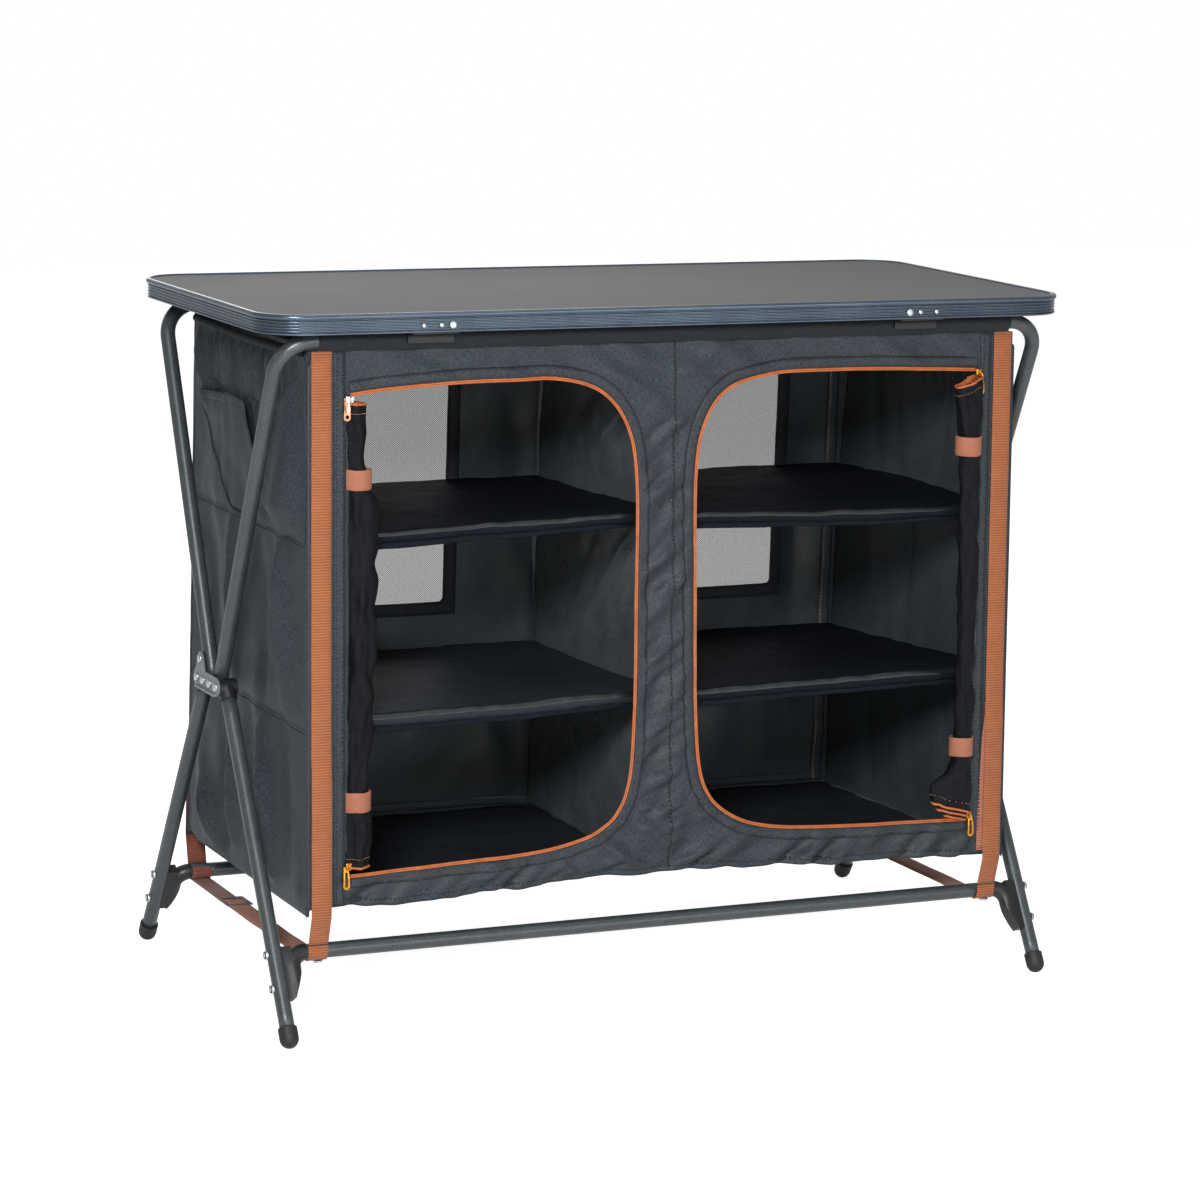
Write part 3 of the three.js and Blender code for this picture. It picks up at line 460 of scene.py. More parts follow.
@dataclass(frozen=True)
class Moulded(Finish):
    """Moulded plastic or rubber with a spark-eroded grain."""

    rub: str = "3a3c3f"
    rough: float = 0.5
    grain: float = 1400.0

    def draw(self) -> bpy.types.Material:
        """Draws grain, a cloudy sheen and rubbed edges."""
        g = Graph(self.name)
        here = g.place("Object")
        cloud = g.spread(g.noise(here, 45.0, 3.0, 0.6), 0.3, 0.7)
        colour = g.blend(g.math("MULTIPLY", cloud, 0.25), srgb(self.colour), srgb(self.rub))
        rubbed = g.rubbed(0.0007, 0.97, g.noise(here, 200.0), 0.4)
        colour = g.blend(g.math("MULTIPLY", rubbed, 0.5), colour, srgb(self.rub))
        grain = g.bump(g.noise(here, self.grain, 2.0, 0.6), 0.0001, 0.5)
        rough = g.spread(g.noise(here, 80.0, 3.0), 0.25, 0.75, self.rough - 0.08, self.rough + 0.1)
        return g.surface(colour, rough, grain, Specular_IOR_Level=0.4)


@dataclass(frozen=True)
class Metal(Finish):
    """Bare or plated metal with fine scratches."""

    dull: str = "77797c"
    rough: float = 0.25

    def draw(self) -> bpy.types.Material:
        """Draws scratches and dulled patches."""
        g = Graph(self.name)
        here = g.place("Object")
        patch = g.spread(g.noise(here, 150.0, 4.0, 0.6), 0.4, 0.7)
        scratch = g.noise(g.place("Object", (80.0, 900.0, 900.0), (0.3, 0.2, 0.6)), 1.0, 4.0, 0.7)
        colour = g.blend(g.math("MULTIPLY", patch, 0.4), srgb(self.colour), srgb(self.dull))
        rough = g.spread(g.math("ADD", patch, scratch), 0.4, 1.6, self.rough, self.rough + 0.2)
        return g.surface(colour, rough, g.bump(scratch, 0.00004, 0.4), Metallic=1.0)


@dataclass(frozen=True)
class Webbing(Finish):
    """Ribbed polypropylene webbing, its UV map across and along the band in metres."""

    dark: str = "8f4d2b"
    pale: str = "cf8057"
    pitch: float = 0.0034

    def draw(self) -> bpy.types.Material:
        """Draws crosswise ribs, the yarns in them, and a dusty tone."""
        g = Graph(self.name)
        flat = g.place("UV")
        ribs = g.wave(flat, self.pitch, "Y", 0.6)
        yarns = g.wave(flat, 0.0012, "X", 1.0)
        fuzz = g.noise(g.place("UV", (1800.0, 700.0, 1.0)), 1.0, 3.0, 0.7)
        worn = g.spread(fuzz, 0.25, 0.75, 0.6, 1.15)
        share = g.math("MULTIPLY", g.spread(ribs, 0.1, 0.9, 0.0, 0.9), worn)
        colour = g.blend(share, srgb(self.dark), srgb(self.colour))
        dust = g.spread(g.noise(flat, 30.0, 4.0, 0.6), 0.35, 0.7, 0.0, 0.2)
        colour = g.blend(dust, colour, srgb(self.pale))
        rib_normal = g.bump(ribs, 0.0009, 0.8)
        normal = g.bump(g.math("ADD", yarns, fuzz), 0.00018, 0.5, rib_normal)
        return g.surface(colour, g.spread(fuzz, 0.2, 0.8, 0.55, 0.72), normal, Sheen_Weight=0.15)


@dataclass(frozen=True)
class Net(Finish):
    """Fine see-through netting: crossing threads with open holes between them."""

    hole: float = 0.0019
    open_share: float = 0.42

    def draw(self) -> bpy.types.Material:
        """Draws a diagonal lattice of threads with clear holes."""
        g = Graph(self.name)
        lattice = g.place("UV", (1, 1, 1), (0, 0, math.radians(40)))
        one = g.wave(lattice, self.hole, "X")
        two = g.wave(lattice, self.hole, "Y")
        thread = g.math("MAXIMUM", one, two)
        holes = g.spread(thread, self.open_share, self.open_share + 0.4, 0.46, 0.12)
        tint = g.spread(g.noise(g.place("UV"), 60.0, 3.0), 0.3, 0.7, 0.0, 0.4)
        colour = g.blend(tint, srgb(self.colour), srgb("34373b"))
        material = g.surface(colour, 0.7, g.bump(thread, 0.0002, 0.6))
        clear = g.node("ShaderNodeBsdfTransparent", {})
        shader = g.output.inputs["Surface"].links[0].from_socket
        both = g.node("ShaderNodeMixShader", {0: holes, 1: shader, 2: clear.outputs[0]})
        g.put(g.output.inputs["Surface"], both.outputs[0])
        return material


@dataclass(frozen=True)
class Thread(Finish):
    """Twisted sewing thread, or a smooth cord in one colour."""

    rough: float = 0.6

    def draw(self) -> bpy.types.Material:
        """Draws a fine twist and a little fade."""
        g = Graph(self.name)
        here = g.place("Object")
        fade = g.spread(g.noise(here, 60.0, 3.0, 0.6), 0.3, 0.7, 0.8, 1.15)
        colour = g.scaled(srgb(self.colour)[:3], fade)
        twist = g.wave(g.place("Object", (1, 1, 1), (0.6, 0.5, 0.4)), 0.0012, "DIAGONAL")
        return g.surface(colour, self.rough, g.bump(twist, 0.0001, 0.5))


CABINET_CLOTH = Cloth("heathered cabinet cloth", "262c31", dark="14181c", pale="3e454b", thread=0.0011,
                      slub=0.75, rough=0.5, sheen=0.01, gloss=0.2, weave_depth=0.0002, crumple=0.0024)
DIVIDER_CLOTH = Cloth("satin divider cloth", "444b50", dark="2a3034", pale="62696e", slub=0.5, rough=0.3,
                      gloss=1.0, sheen=0.02, crumple=0.0026)
SLEEVE_CLOTH = Cloth("dark hem cloth", "14171b", dark="0b0d10", pale="22262b", thread=0.0014, slub=0.7,
                     rough=0.75)
LINING = Cloth("satin lining", "31383d", dark="21272b", pale="434a50", slub=0.5, rough=0.48, sheen=0.02,
               gloss=0.5, crumple=0.0022)
SHELF_CLOTH = Cloth("shelf satin", "14171c", dark="0b0d11", pale="20242b", thread=0.0010, slub=0.5,
                    rough=0.55, sheen=0.0, gloss=0.03, crumple=0.0026)
SHELF_TAPE = Cloth("shelf edge satin", "121418", dark="0c0e11", pale="1b1e23", thread=0.0010, slub=0.3,
                   rough=0.35, sheen=0.0, gloss=0.55, crumple=0.0010)
# A lighter copy of the shelf satin: painted light, for the lower-left shelf and the floor, which show
# lighter than the other shelves.
LIT_SHELF_CLOTH = Cloth("worn shelf satin", "22262c", dark="171a1f", pale="31363d", thread=0.0010,
                         slub=0.5, rough=0.5, sheen=0.0, gloss=0.10, crumple=0.0026)
WINDOW_TAPE = Cloth("window edge cloth", "262a2f", dark="191c20", pale="33383e", slub=0.6, rough=0.7)
# Near-black cloth for the flat patches of painted shade at the side pocket.
SHADE_PATCH_CLOTH = Cloth("black binding tape", "17191d", dark="0d0e11", pale="2c2f34", slub=0.7, rough=0.7)
TIE_CLOTH = Cloth("salmon elastic", "965f49", dark="86503b", pale="a66d56", thread=0.0008, slub=0.5,
                  rough=0.7)
ROLL_NET = Cloth("rolled black netting", "08080b", dark="040406", pale="14151a", thread=0.0016, slub=0.8,
                 rough=0.62, sheen=0.0, gloss=0.12, weave_depth=0.0006, crumple=0.0030)
TUBE_COAT = PowderCoat("slate powder coat", "262c2f", speck="656d70", rough=0.34)
PLATE_COAT = PowderCoat("silver powder coat", "5c646a", speck="8f969a", bare="b0b4b6", rough=0.35)
RIM_METAL = Anodised("slate anodised edge", "4a5763", rub="7d8894")
TOP_LAMINATE = Laminate("grey laminate", "6c6c6c", streak="787878")
BLACK_PLASTIC = Moulded("black moulded plastic", "121315", rub="2a2c2f", rough=0.42)
FOOT_RUBBER = Moulded("black rubber", "141517", rub="2b2c2e", rough=0.62, grain=900.0)
BARE_METAL = Metal("bright steel", "c4c7ca")
ADJUSTER_METAL = Metal("brushed steel", "85888c", dull="55575a", rough=0.35)
PULL_METAL = Metal("orange plated pull", "c98a35", dull="8a5a22", rough=0.3)
SLIDER_METAL = Metal("rose plated slider", "c98f6f", dull="94654c", rough=0.3)
NICKEL = Metal("pale plated slider", "d5d0c9", dull="9b928a", rough=0.25)
STRAP_WEBBING = Webbing("burnt orange webbing", "aa602d", dark="743b1b", pale="b96c41")
TIE_WEBBING = Webbing("faded webbing", "a5664e", dark="7e4430", pale="b87d65")
REAR_WEBBING = Webbing("rust webbing", "83412c", dark="572619", pale="96523b")
NETTING = Net("black netting", "1c1e21")
PIPING_CORD = Thread("orange piping", "a85a2c")
DARK_THREAD = Thread("dark thread", "050608")
PALE_THREAD = Thread("tan thread", "a27a55")

# Shared places of the solid model, in metres


@dataclass(frozen=True)
class Layout:
    """Places that several sub-assemblies share."""

    side_plane: float = 0.5215
    tube_radius: float = 0.0095
    pivot_height: float = 0.402
    upper_pivot_out: float = 0.012
    lower_pivot_out: float = 0.036
    upper_lean: float = math.radians(24.2435)
    leg_lean: float = math.radians(31.2563)
    crossbar_out: float = 0.216
    crossbar_height: float = 0.855
    crossbar_bend: float = 0.045
    lower_bar_out: float = 0.2174826
    lower_bar_height: float = 0.103
    lower_bar_end: float = 0.482
    wall_bottom_out: float = 0.235
    wall_lean: float = math.radians(1.6531)
    cabinet_half: float = 0.486
    cabinet_bottom: float = 0.150
    cabinet_top: float = 0.843
    strap_across: float = 0.468
    web_width: float = 0.026
    upper_shelf: float = 0.625
    lower_shelf: float = 0.398
    shelf_fall: float = 0.014
    floor_top: float = 0.157
    rear_draw: float = 0.006
    lining_draw: float = 0.011
    door_outer: float = 0.431

    def drawn_in(self, y: float) -> float:
        """How far the cabinet's sides are drawn in at a depth, most at the rear."""
        return self.rear_draw * clamp(0.5 + y / (2 * self.wall_bottom_out))

    def lining_in(self, y: float, z: float) -> float:
        """How much further than the outer cloth the lining is drawn in."""
        waist = 0.15 + 0.85 * ease((0.80 - z) / 0.25) * (1 - 0.3 * ease((0.30 - z) / 0.12))
        return self.lining_draw * waist * ease((y + 0.06) / 0.28)

    def wall_out(self, height: float) -> float:
        """How far the walls' outer faces stand from the middle at a height."""
        return self.wall_bottom_out - (height - self.cabinet_bottom) * math.tan(self.wall_lean)

    def on_wall(self, row: Row, x: float, z: float, proud: float = 0.0) -> Vector:
        """A point on a wall's outer face.

        Args:
            row: which wall.
            x: place across.
            z: height.
            proud: how far in front of the face.

        Returns:
            The point.
        """
        out = self.wall_out(z) + proud * math.cos(self.wall_lean)
        return Vector((x, row.value * out, z + proud * math.sin(self.wall_lean)))


PLACE = Layout()


# Flat work: outlines, cutting and folds


class Outline:
    """An open line through given points, rounded between them, whose ends may be joined straight."""

    def __init__(self, corners: Line, steps: int = 10) -> None:
        """Rounds the line.

        Args:
            corners: the points that it passes through, in metres.
            steps: short pieces between each two of them.
        """
        self.points: list[Flat] = []
        last = len(corners) - 1
        for i in range(last):
            a, b = corners[max(i - 1, 0)], corners[i]
            c, d = corners[i + 1], corners[min(i + 2, last)]
            for k in range(steps):
                t = k / steps
                self.points.append(tuple(
                    0.5 * (2 * b[n] + (c[n] - a[n]) * t + (2 * a[n] - 5 * b[n] + 4 * c[n] - d[n]) * t ** 2
                           + (3 * b[n] - a[n] - 3 * c[n] + d[n]) * t ** 3) for n in (0, 1)))
        self.points.append(corners[last])

    def holds(self, x: float, y: float) -> bool:
        """True inside the line, its ends joined straight."""
        inside = False
        before = self.points[-1]
        for here in self.points:
            if (here[1] > y) != (before[1] > y):
                if x < (before[0] - here[0]) * (y - here[1]) / (before[1] - here[1]) + here[0]:
                    inside = not inside
            before = here
        return inside

    def nearest(self, x: float, y: float, closed: bool = True) -> Flat:
        """The point of the line that is nearest to a place."""
        best, found = 1e9, (x, y)
        before = self.points[-1] if closed else self.points[0]
        for here in self.points:
            dx, dy = here[0] - before[0], here[1] - before[1]
            length = dx * dx + dy * dy
            t = clamp(((x - before[0]) * dx + (y - before[1]) * dy) / length) if length else 0.0
            px, py = before[0] + dx * t, before[1] + dy * t
            gap = (px - x) ** 2 + (py - y) ** 2
            if gap < best:
                best, found = gap, (px, py)
            before = here
        return found

    def beside(self, distance: float) -> list[Flat]:
        """The line moved sideways, to the left of its course where distance is above 0."""
        moved = []
        last = len(self.points) - 1
        for i, (x, y) in enumerate(self.points):
            ax, ay = self.points[max(i - 1, 0)]
            bx, by = self.points[min(i + 1, last)]
            length = math.hypot(bx - ax, by - ay) or 1.0
            moved.append((x - (by - ay) / length * distance, y + (bx - ax) / length * distance))
        return moved


def walk(points: Line, pitch: float) -> list[tuple[Flat, Flat]]:
    """Places at even steps along a line, each with its direction.

    Args:
        points: the line.
        pitch: distance between two places.

    Returns:
        Pairs of place and unit direction.
    """
    found, over = [], 0.0
    for (ax, ay), (bx, by) in zip(points, points[1:]):
        length = math.hypot(bx - ax, by - ay)
        if length < 1e-9:
            continue
        heading = ((bx - ax) / length, (by - ay) / length)
        while over <= length:
            found.append(((ax + heading[0] * over, ay + heading[1] * over), heading))
            over += pitch
        over -= length
    return found


@dataclass(frozen=True)
class Fold:
    """A crease in a cloth from one point to another: proud where depth is above 0."""

    x0: float
    z0: float
    x1: float
    z1: float
    width: float
    depth: float
    sharp: float = 0.35

    def at(self, x: float, z: float) -> float:
        """How far the crease lifts the cloth at a place."""
        dx, dz = self.x1 - self.x0, self.z1 - self.z0
        along = ((x - self.x0) * dx + (z - self.z0) * dz) / (dx * dx + dz * dz)
        if along < -0.3 or along > 1.3:
            return 0.0
        held = clamp(along)
        away = math.hypot(x - self.x0 - dx * held, z - self.z0 - dz * held) / self.width
        if away > 3.5:
            return 0.0
        shape = mix(math.exp(-away * away), math.exp(-1.6 * away), self.sharp)
        return self.depth * shape * (0.35 + 0.65 * math.sin(math.pi * clamp(0.08 + 0.84 * held)))


def folds(*rows: tuple[float, ...]) -> tuple[Fold, ...]:
    """Folds from rows of their numbers."""
    return tuple(Fold(*row) for row in rows)


def flat_cloth(x0: float, x1: float, z0: float, z1: float, cell: float) -> Mesh:
    """A grid of square cells that lies flat, its X and Y the cloth's own two directions.

    Args:
        x0: left edge.
        x1: right edge.
        z0: lower edge.
        z1: upper edge.
        cell: size of a cell.

    Returns:
        The mesh.
    """
    bm = bmesh.new()
    across, up = max(1, round((x1 - x0) / cell)), max(1, round((z1 - z0) / cell))
    bmesh.ops.create_grid(bm, x_segments=across, y_segments=up, size=0.5)
    bmesh.ops.scale(bm, vec=(x1 - x0, z1 - z0, 1), verts=bm.verts)
    bmesh.ops.translate(bm, vec=((x0 + x1) / 2, (z0 + z1) / 2, 0), verts=bm.verts)
    return bm


def cut_away(bm: Mesh, outline: Outline, inside: bool = True) -> None:
    """Cuts the cloth along an outline.

    Args:
        bm: the flat cloth.
        outline: where to cut.
        inside: True takes out what it holds, False what lies beyond it.
    """
    gone = [f for f in bm.faces if outline.holds(*f.calc_center_median().xy) == inside]
    touched = {v for f in gone for v in f.verts}
    bmesh.ops.delete(bm, geom=gone, context="FACES")
    for vert in touched:
        if vert.is_valid and vert.link_faces:
            vert.co.x, vert.co.y = outline.nearest(vert.co.x, vert.co.y)


def lay_threads(bm: Mesh) -> None:
    """Writes the flat places into the UV map, so that a weave follows the cloth."""
    layer = bm.loops.layers.uv.verify()
    for face in bm.faces:
        for loop in face.loops:
            loop[layer].uv = loop.vert.co.xy


def hang(bm: Mesh, place: Hang, turned: bool = False) -> None:
    """Takes the flat cloth to its place.

    Args:
        bm: the flat cloth.
        place: gives the place of a flat point.
        turned: True where the faces have to be turned over afterwards.
    """
    for vert in bm.verts:
        vert.co = place(vert.co.x, vert.co.y)
    if turned:
        bmesh.ops.reverse_faces(bm, faces=bm.faces)


# Swept work: tubes, cords, bands


@dataclass
class Station:
    """One place on a route: the section's centre and its two axes."""

    centre: Vector
    across: Vector
    up: Vector
    size: float = 1.0


def circle(radius: float, sides: int) -> list[Flat]:
    """A closed round section."""
    turn = [2 * math.pi * i / sides for i in range(sides)]
    return [(radius * math.cos(a), radius * math.sin(a)) for a in turn]


def band(width: float, thickness: float, sides: int = 2) -> list[Flat]:
    """A closed flat section with its long edges rounded."""
    half, thin = width / 2, thickness / 2
    tucked = half - thin * 0.6
    top = [(x, thin) for x in spaced(tucked, -tucked, sides)]
    low = [(x, -thin) for x in spaced(-tucked, tucked, sides)]
    return [(half, 0.0), *top, (-half, 0.0), *low]


def stations_along(points: Route, up: Vector | None = None) -> list[Station]:
    """Stations on a route through points, turned as little as possible from one to the next.

    Args:
        points: the route.
        up: direction that the section's second axis keeps to, where it is held.

    Returns:
        A station for each point.
    """
    made: list[Station] = []
    last = len(points) - 1
    for i, point in enumerate(points):
        heading = (points[min(i + 1, last)] - points[max(i - 1, 0)]).normalized()
        if up is not None:
            side = heading.cross(up).normalized()
        elif made:
            side = (made[-1].across - heading * made[-1].across.dot(heading)).normalized()
        else:
            side = heading.orthogonal().normalized()
        made.append(Station(point, side, side.cross(heading).normalized()))
    return made


def sweep(bm: Mesh, section: Line, route: Sequence[Station], closed: bool = True,
          caps: bool = True, ring: bool = False) -> None:
    """Draws a section along a route, with a UV map round and along it in metres.

    Args:
        bm: the mesh to add to.
        section: the section's points.
        route: where it passes.
        closed: True where the section is a loop.
        caps: True where both ends are closed.
        ring: True where the route returns to its start.
    """
    layer = bm.loops.layers.uv.verify()
    first = route[0]
    rows = [[bm.verts.new(first.centre + (first.across * a + first.up * b) * first.size)
             for a, b in section]]
    count = len(section)
    sides = count if closed else count - 1
    edges = [bm.edges.new((rows[0][i], rows[0][(i + 1) % count])) for i in range(sides)]
    girth = [0.0]
    for i in range(count):
        a, b = section[i], section[(i + 1) % count]
        girth.append(girth[-1] + math.hypot(b[0] - a[0], b[1] - a[1]))
    spot = {vert: (girth[i], 0.0, i) for i, vert in enumerate(rows[0])}
    reach, faces = 0.0, []
    for before, here in zip(route, route[1:]):
        made = bmesh.ops.extrude_edge_only(bm, edges=edges)["geom"]
        faces += [g for g in made if isinstance(g, bmesh.types.BMFace)]
        reach += (here.centre - before.centre).length
        old, new = rows[-1], []
        fresh = {g for g in made if isinstance(g, bmesh.types.BMVert)}
        for i, vert in enumerate(old):
            twin = next(e.other_vert(vert) for e in vert.link_edges if e.other_vert(vert) in fresh)
            a, b = section[i]
            twin.co = here.centre + (here.across * a + here.up * b) * here.size
            spot[twin] = (girth[i], reach, i)
            new.append(twin)
        rows.append(new)
        fresh_edges = {g for g in made if isinstance(g, bmesh.types.BMEdge)}
        edges = [e for e in fresh_edges if e.verts[0] in fresh and e.verts[1] in fresh]
    for face in faces:
        wraps = {spot[v][2] for v in face.verts} == {0, count - 1} and count > 2
        for loop in face.loops:
            around, along, i = spot[loop.vert]
            loop[layer].uv = (girth[count] if wraps and i == 0 else around, along)
    if ring:
        ends = [e for e in bm.edges if e.is_boundary
                and (set(e.verts) <= set(rows[0]) or set(e.verts) <= set(rows[-1]))]
        bmesh.ops.bridge_loops(bm, edges=ends)
    elif caps and closed:
        for row in (rows[0], rows[-1]):
            faces.append(bm.faces.new(row))
    bmesh.ops.recalc_face_normals(bm, faces=[f for f in bm.faces if f.is_valid])


def evened(points: Route, reach: int = 4) -> list[Vector]:
    """A route with its small waves taken out, its ends kept."""
    smooth = []
    for i in range(len(points)):
        span = min(reach, i, len(points) - 1 - i)
        near = points[i - span:i + span + 1]
        smooth.append(sum(near, Vector()) / len(near))
    return smooth


def cord(bm: Mesh, points: Route, radius: float, sides: int = 6) -> None:
    """Adds a round cord along a route."""
    sweep(bm, circle(radius, sides), stations_along(points))


def stitch(bm: Mesh, places: Iterable[tuple[Vector, Vector, Vector]], length: float,
           thick: float) -> None:
    """Adds a row of stitches.

    Args:
        bm: the mesh to add to.
        places: centre, direction and outward direction of each stitch.
        length: a stitch's length.
        thick: its thickness.
    """
    for centre, heading, outward in places:
        along = heading.normalized()
        side = outward.cross(along).normalized()
        up = along.cross(side).normalized()
        turn = Matrix((along * length / 2, side * thick / 2, up * thick / 2)).transposed().to_4x4()
        turn.translation = centre
        bmesh.ops.create_icosphere(bm, subdivisions=1, radius=1.0, matrix=turn)


# Pieces


def finish_piece(name: str, bm: Mesh, finish: Finish, body: Body | str, slot: Slot,
                 replaces: Sequence[str] = (), smooth: bool = True, thick: float = 0.0,
                 offset: float = -1.0) -> Piece:
    """Turns a mesh into a piece of the cupboard.

    Args:
        name: the piece's name.
        bm: its mesh, which this call frees.
        finish: its finish.
        body: the body that it rides on.
        slot: the record's finish slot; not used.
        replaces: solids that it stands for.
        smooth: True for smooth shading.
        thick: thickness to give it, where it is built as a single face.
        offset: -1 to thicken it inward from that face, 0 to both sides.

    Returns:
        The piece.
    """
    mesh = bpy.data.meshes.new(name)
    bm.to_mesh(mesh)
    bm.free()
    mesh.polygons.foreach_set("use_smooth", [smooth] * len(mesh.polygons))
    mesh.materials.append(finish.material())
    piece = bpy.data.objects.new(name, mesh)
    bpy.context.scene.collection.objects.link(piece)
    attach(piece, body if isinstance(body, str) else body.value)
    if replaces:
        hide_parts(*replaces)
    if thick:
        wall = piece.modifiers.new("thickness", "SOLIDIFY")
        wall.thickness = thick
        wall.offset = offset
        wall.use_even_offset = False
    LOG.info("%s: %d faces", name, len(mesh.polygons))
    return piece


def machined(node: str, finish: Finish, slot: Slot, edge: float, name: str | None = None) -> Piece:
    """A merged copy of a rigid solid with its edges eased, which stands for the solid.

    Args:
        node: the solid.
        finish: its finish.
        slot: the record's finish slot.
        edge: radius of the eased edges.
        name: the piece's name, where it differs.

    Returns:
        The piece.
    """
    solid = frame["nodes"][node]
    bm = bmesh.new()
    bm.from_mesh(solid.data)
    bmesh.ops.remove_doubles(bm, verts=bm.verts, dist=1e-6)
    bmesh.ops.dissolve_limit(bm, angle_limit=math.radians(1.0), verts=bm.verts, edges=bm.edges)
    piece = finish_piece(name or f"{node}_finished", bm, finish, solid["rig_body"], slot, [node])
    sharp = math.radians(35)
    piece.data.set_sharp_from_angle(angle=sharp)
    eased = piece.modifiers.new("eased edges", "BEVEL")
    eased.width = edge
    eased.segments = 2
    eased.limit_method = "ANGLE"
    eased.angle_limit = sharp
    eased.use_clamp_overlap = True
    eased.harden_normals = False
    return piece


def add(bm: Mesh, part: Mesh) -> None:
    """Adds a part's mesh to another and frees the part."""
    mesh = bpy.data.meshes.new("part")
    part.to_mesh(mesh)
    part.free()
    bm.from_mesh(mesh)
    bpy.data.meshes.remove(mesh)


def dome(bm: Mesh, seat: Vector, outward: Vector, radius: float, height: float) -> None:
    """Adds a domed head that sits on a face.

    Args:
        bm: the mesh to add to.
        seat: the middle of its foot.
        outward: the way it faces.
        radius: its radius.
        height: its height.
    """
    profile = [(0.0, 1.0), (0.45, 0.97), (0.8, 0.84), (0.95, 0.6), (1.0, 0.3), (1.0, 0.0)]
    part = bmesh.new()
    verts = [part.verts.new((r * radius, 0, h * height)) for r, h in profile]
    edges = [part.edges.new(pair) for pair in zip(verts, verts[1:])]
    bmesh.ops.spin(part, geom=verts + edges, cent=(0, 0, 0), axis=(0, 0, 1), angle=2 * math.pi,
                   steps=16, use_merge=True, use_duplicate=False)
    bmesh.ops.remove_doubles(part, verts=part.verts, dist=1e-6)
    bmesh.ops.recalc_face_normals(part, faces=part.faces)
    turn = UP.rotation_difference(outward).to_matrix().to_4x4()
    turn.translation = seat
    bmesh.ops.transform(part, matrix=turn, verts=part.verts)
    add(bm, part)


# Tabletop


@dataclass
class Tabletop:
    """The board in its ribbed edge extrusion, with the catches and clips under it."""

    half_width: float = 0.55
    half_depth: float = 0.2525
    height: float = 0.89
    corner: float = 0.06
    rim_height: float = 0.025
    bead: float = 0.0035
    bead_height: float = 0.007
    wall: float = 0.002
    ledge: float = 0.009
    ribs: int = 4
    rib_proud: float = 0.0014
    board_drop: float = 0.002
    board_thickness: float = 0.006
    clearance: float = 0.0003
    rivets: tuple[tuple[float, float], ...] = ((0.350, 0.0029), (0.327, 0.0029), (0.312, 0.0047))
    rivet_height: float = 0.874
    rivet_proud: float = 0.0018

    def section(self) -> list[Flat]:
        """The extrusion's section as (outward from the bead, up from its foot)."""
        foot = 0.003
        points = [(-self.bead, 0.0), (-self.bead + 0.0016, 0.0006), (-self.bead + 0.0018, 0.0022),
                  (-self.bead, foot)]
        pitch = (self.rim_height - self.bead_height - foot) / self.ribs
        for rib in range(self.ribs):
            for k in range(1, 8):
                lift = self.rib_proud * math.sin(math.pi * (k - 1) / 6) ** 0.8
                points.append((-self.bead + lift, foot + pitch * (rib + (k - 0.5) / 7.2)))
        low, tall = self.rim_height - self.bead_height, self.bead_height
        points.append((-self.bead, low))
        for angle in spaced(-75, 90, 8):
            turn = math.radians(angle)
            points.append((-self.bead * (1 - math.cos(turn)), low + tall * (1 + math.sin(turn)) / 2))
        inner = -self.bead - self.wall
        ledge_top = self.rim_height - self.board_drop - self.board_thickness - self.clearance
        points += [(inner + 0.0006, self.rim_height), (inner, self.rim_height - 0.0006), (inner, ledge_top)]
        points += [(inner - self.ledge, ledge_top), (inner - self.ledge, ledge_top - 0.002)]
        return [*points, (inner, ledge_top - 0.002), (inner, 0.0)]

    def round_route(self, steps: int = 18) -> list[Station]:
        """Stations round the top's outer edge, starting halfway along the front."""
        route = []
        for quarter in range(4):
            sx, sy = ((1, 1), (-1, 1), (-1, -1), (1, -1))[quarter]
            centre = Vector((sx * (self.half_width - self.corner), sy * (self.half_depth - self.corner), 0))
            for i in range(steps + 1):
                turn = math.pi / 2 * (quarter + i / steps)
                out = Vector((math.cos(turn), math.sin(turn), 0))
                foot = centre + out * self.corner + Vector((0, 0, self.height - self.rim_height))
                route.append(Station(foot, out, UP))
        return route

    def build(self) -> None:
        """Builds the edge, the board, the catches and their rivets."""
        bm = bmesh.new()
        sweep(bm, self.section(), self.round_route(), ring=True)
        rim = finish_piece("tabletop_edge_finished", bm, RIM_METAL, Body.TABLETOP, Slot.EXTRUSION,
                           ["tabletop_rim"])
        rim.data.set_sharp_from_angle(angle=math.radians(50))
        self.build_board()
        for side in Side:
            for kind in ("front_catch", "rear_clip"):
                machined(f"{kind}_{side.word}", BLACK_PLASTIC, Slot.PLASTIC, 0.0006)
        self.build_rivets()

    def build_board(self) -> None:
        """Builds the laminate board inside the extrusion."""
        bm = bmesh.new()
        inset = self.bead + self.wall + self.clearance
        outline = [s.centre - s.across * inset for s in self.round_route()]
        top = self.height - self.board_drop
        face = bm.faces.new([bm.verts.new((p.x, p.y, top)) for p in outline])
        walls = bmesh.ops.extrude_face_region(bm, geom=[face])["geom"]
        sunk = [g for g in walls if isinstance(g, bmesh.types.BMVert)]
        bmesh.ops.translate(bm, vec=(0, 0, -self.board_thickness), verts=sunk)
        bmesh.ops.recalc_face_normals(bm, faces=bm.faces)
        edges = [e for e in bm.edges if all(abs(v.co.z - top) < 1e-6 for v in e.verts)]
        bmesh.ops.bevel(bm, geom=edges, offset=0.0006, offset_type="OFFSET", segments=2, profile=0.5,
                        affect="EDGES", material=-1, clamp_overlap=True)
        board = finish_piece("tabletop_board_finished", bm, TOP_LAMINATE, Body.TABLETOP, Slot.LAMINATE,
                             ["tabletop_board"])
        board.data.set_sharp_from_angle(angle=math.radians(30))

    def build_rivets(self) -> None:
        """Builds the domed rivets through the extrusion's front and rear."""
        bm = bmesh.new()
        seat = self.half_depth - self.bead + self.rib_proud + 0.0002
        for row in Row:
            for side in Side:
                for across, radius in self.rivets:
                    place = Vector((side.value * across, row.value * seat, self.rivet_height))
                    dome(bm, place, BACK * row.value, radius, self.rivet_proud)
        finish_piece("tabletop_rivets", bm, BARE_METAL, Body.TABLETOP, Slot.METAL)


# Tube frame


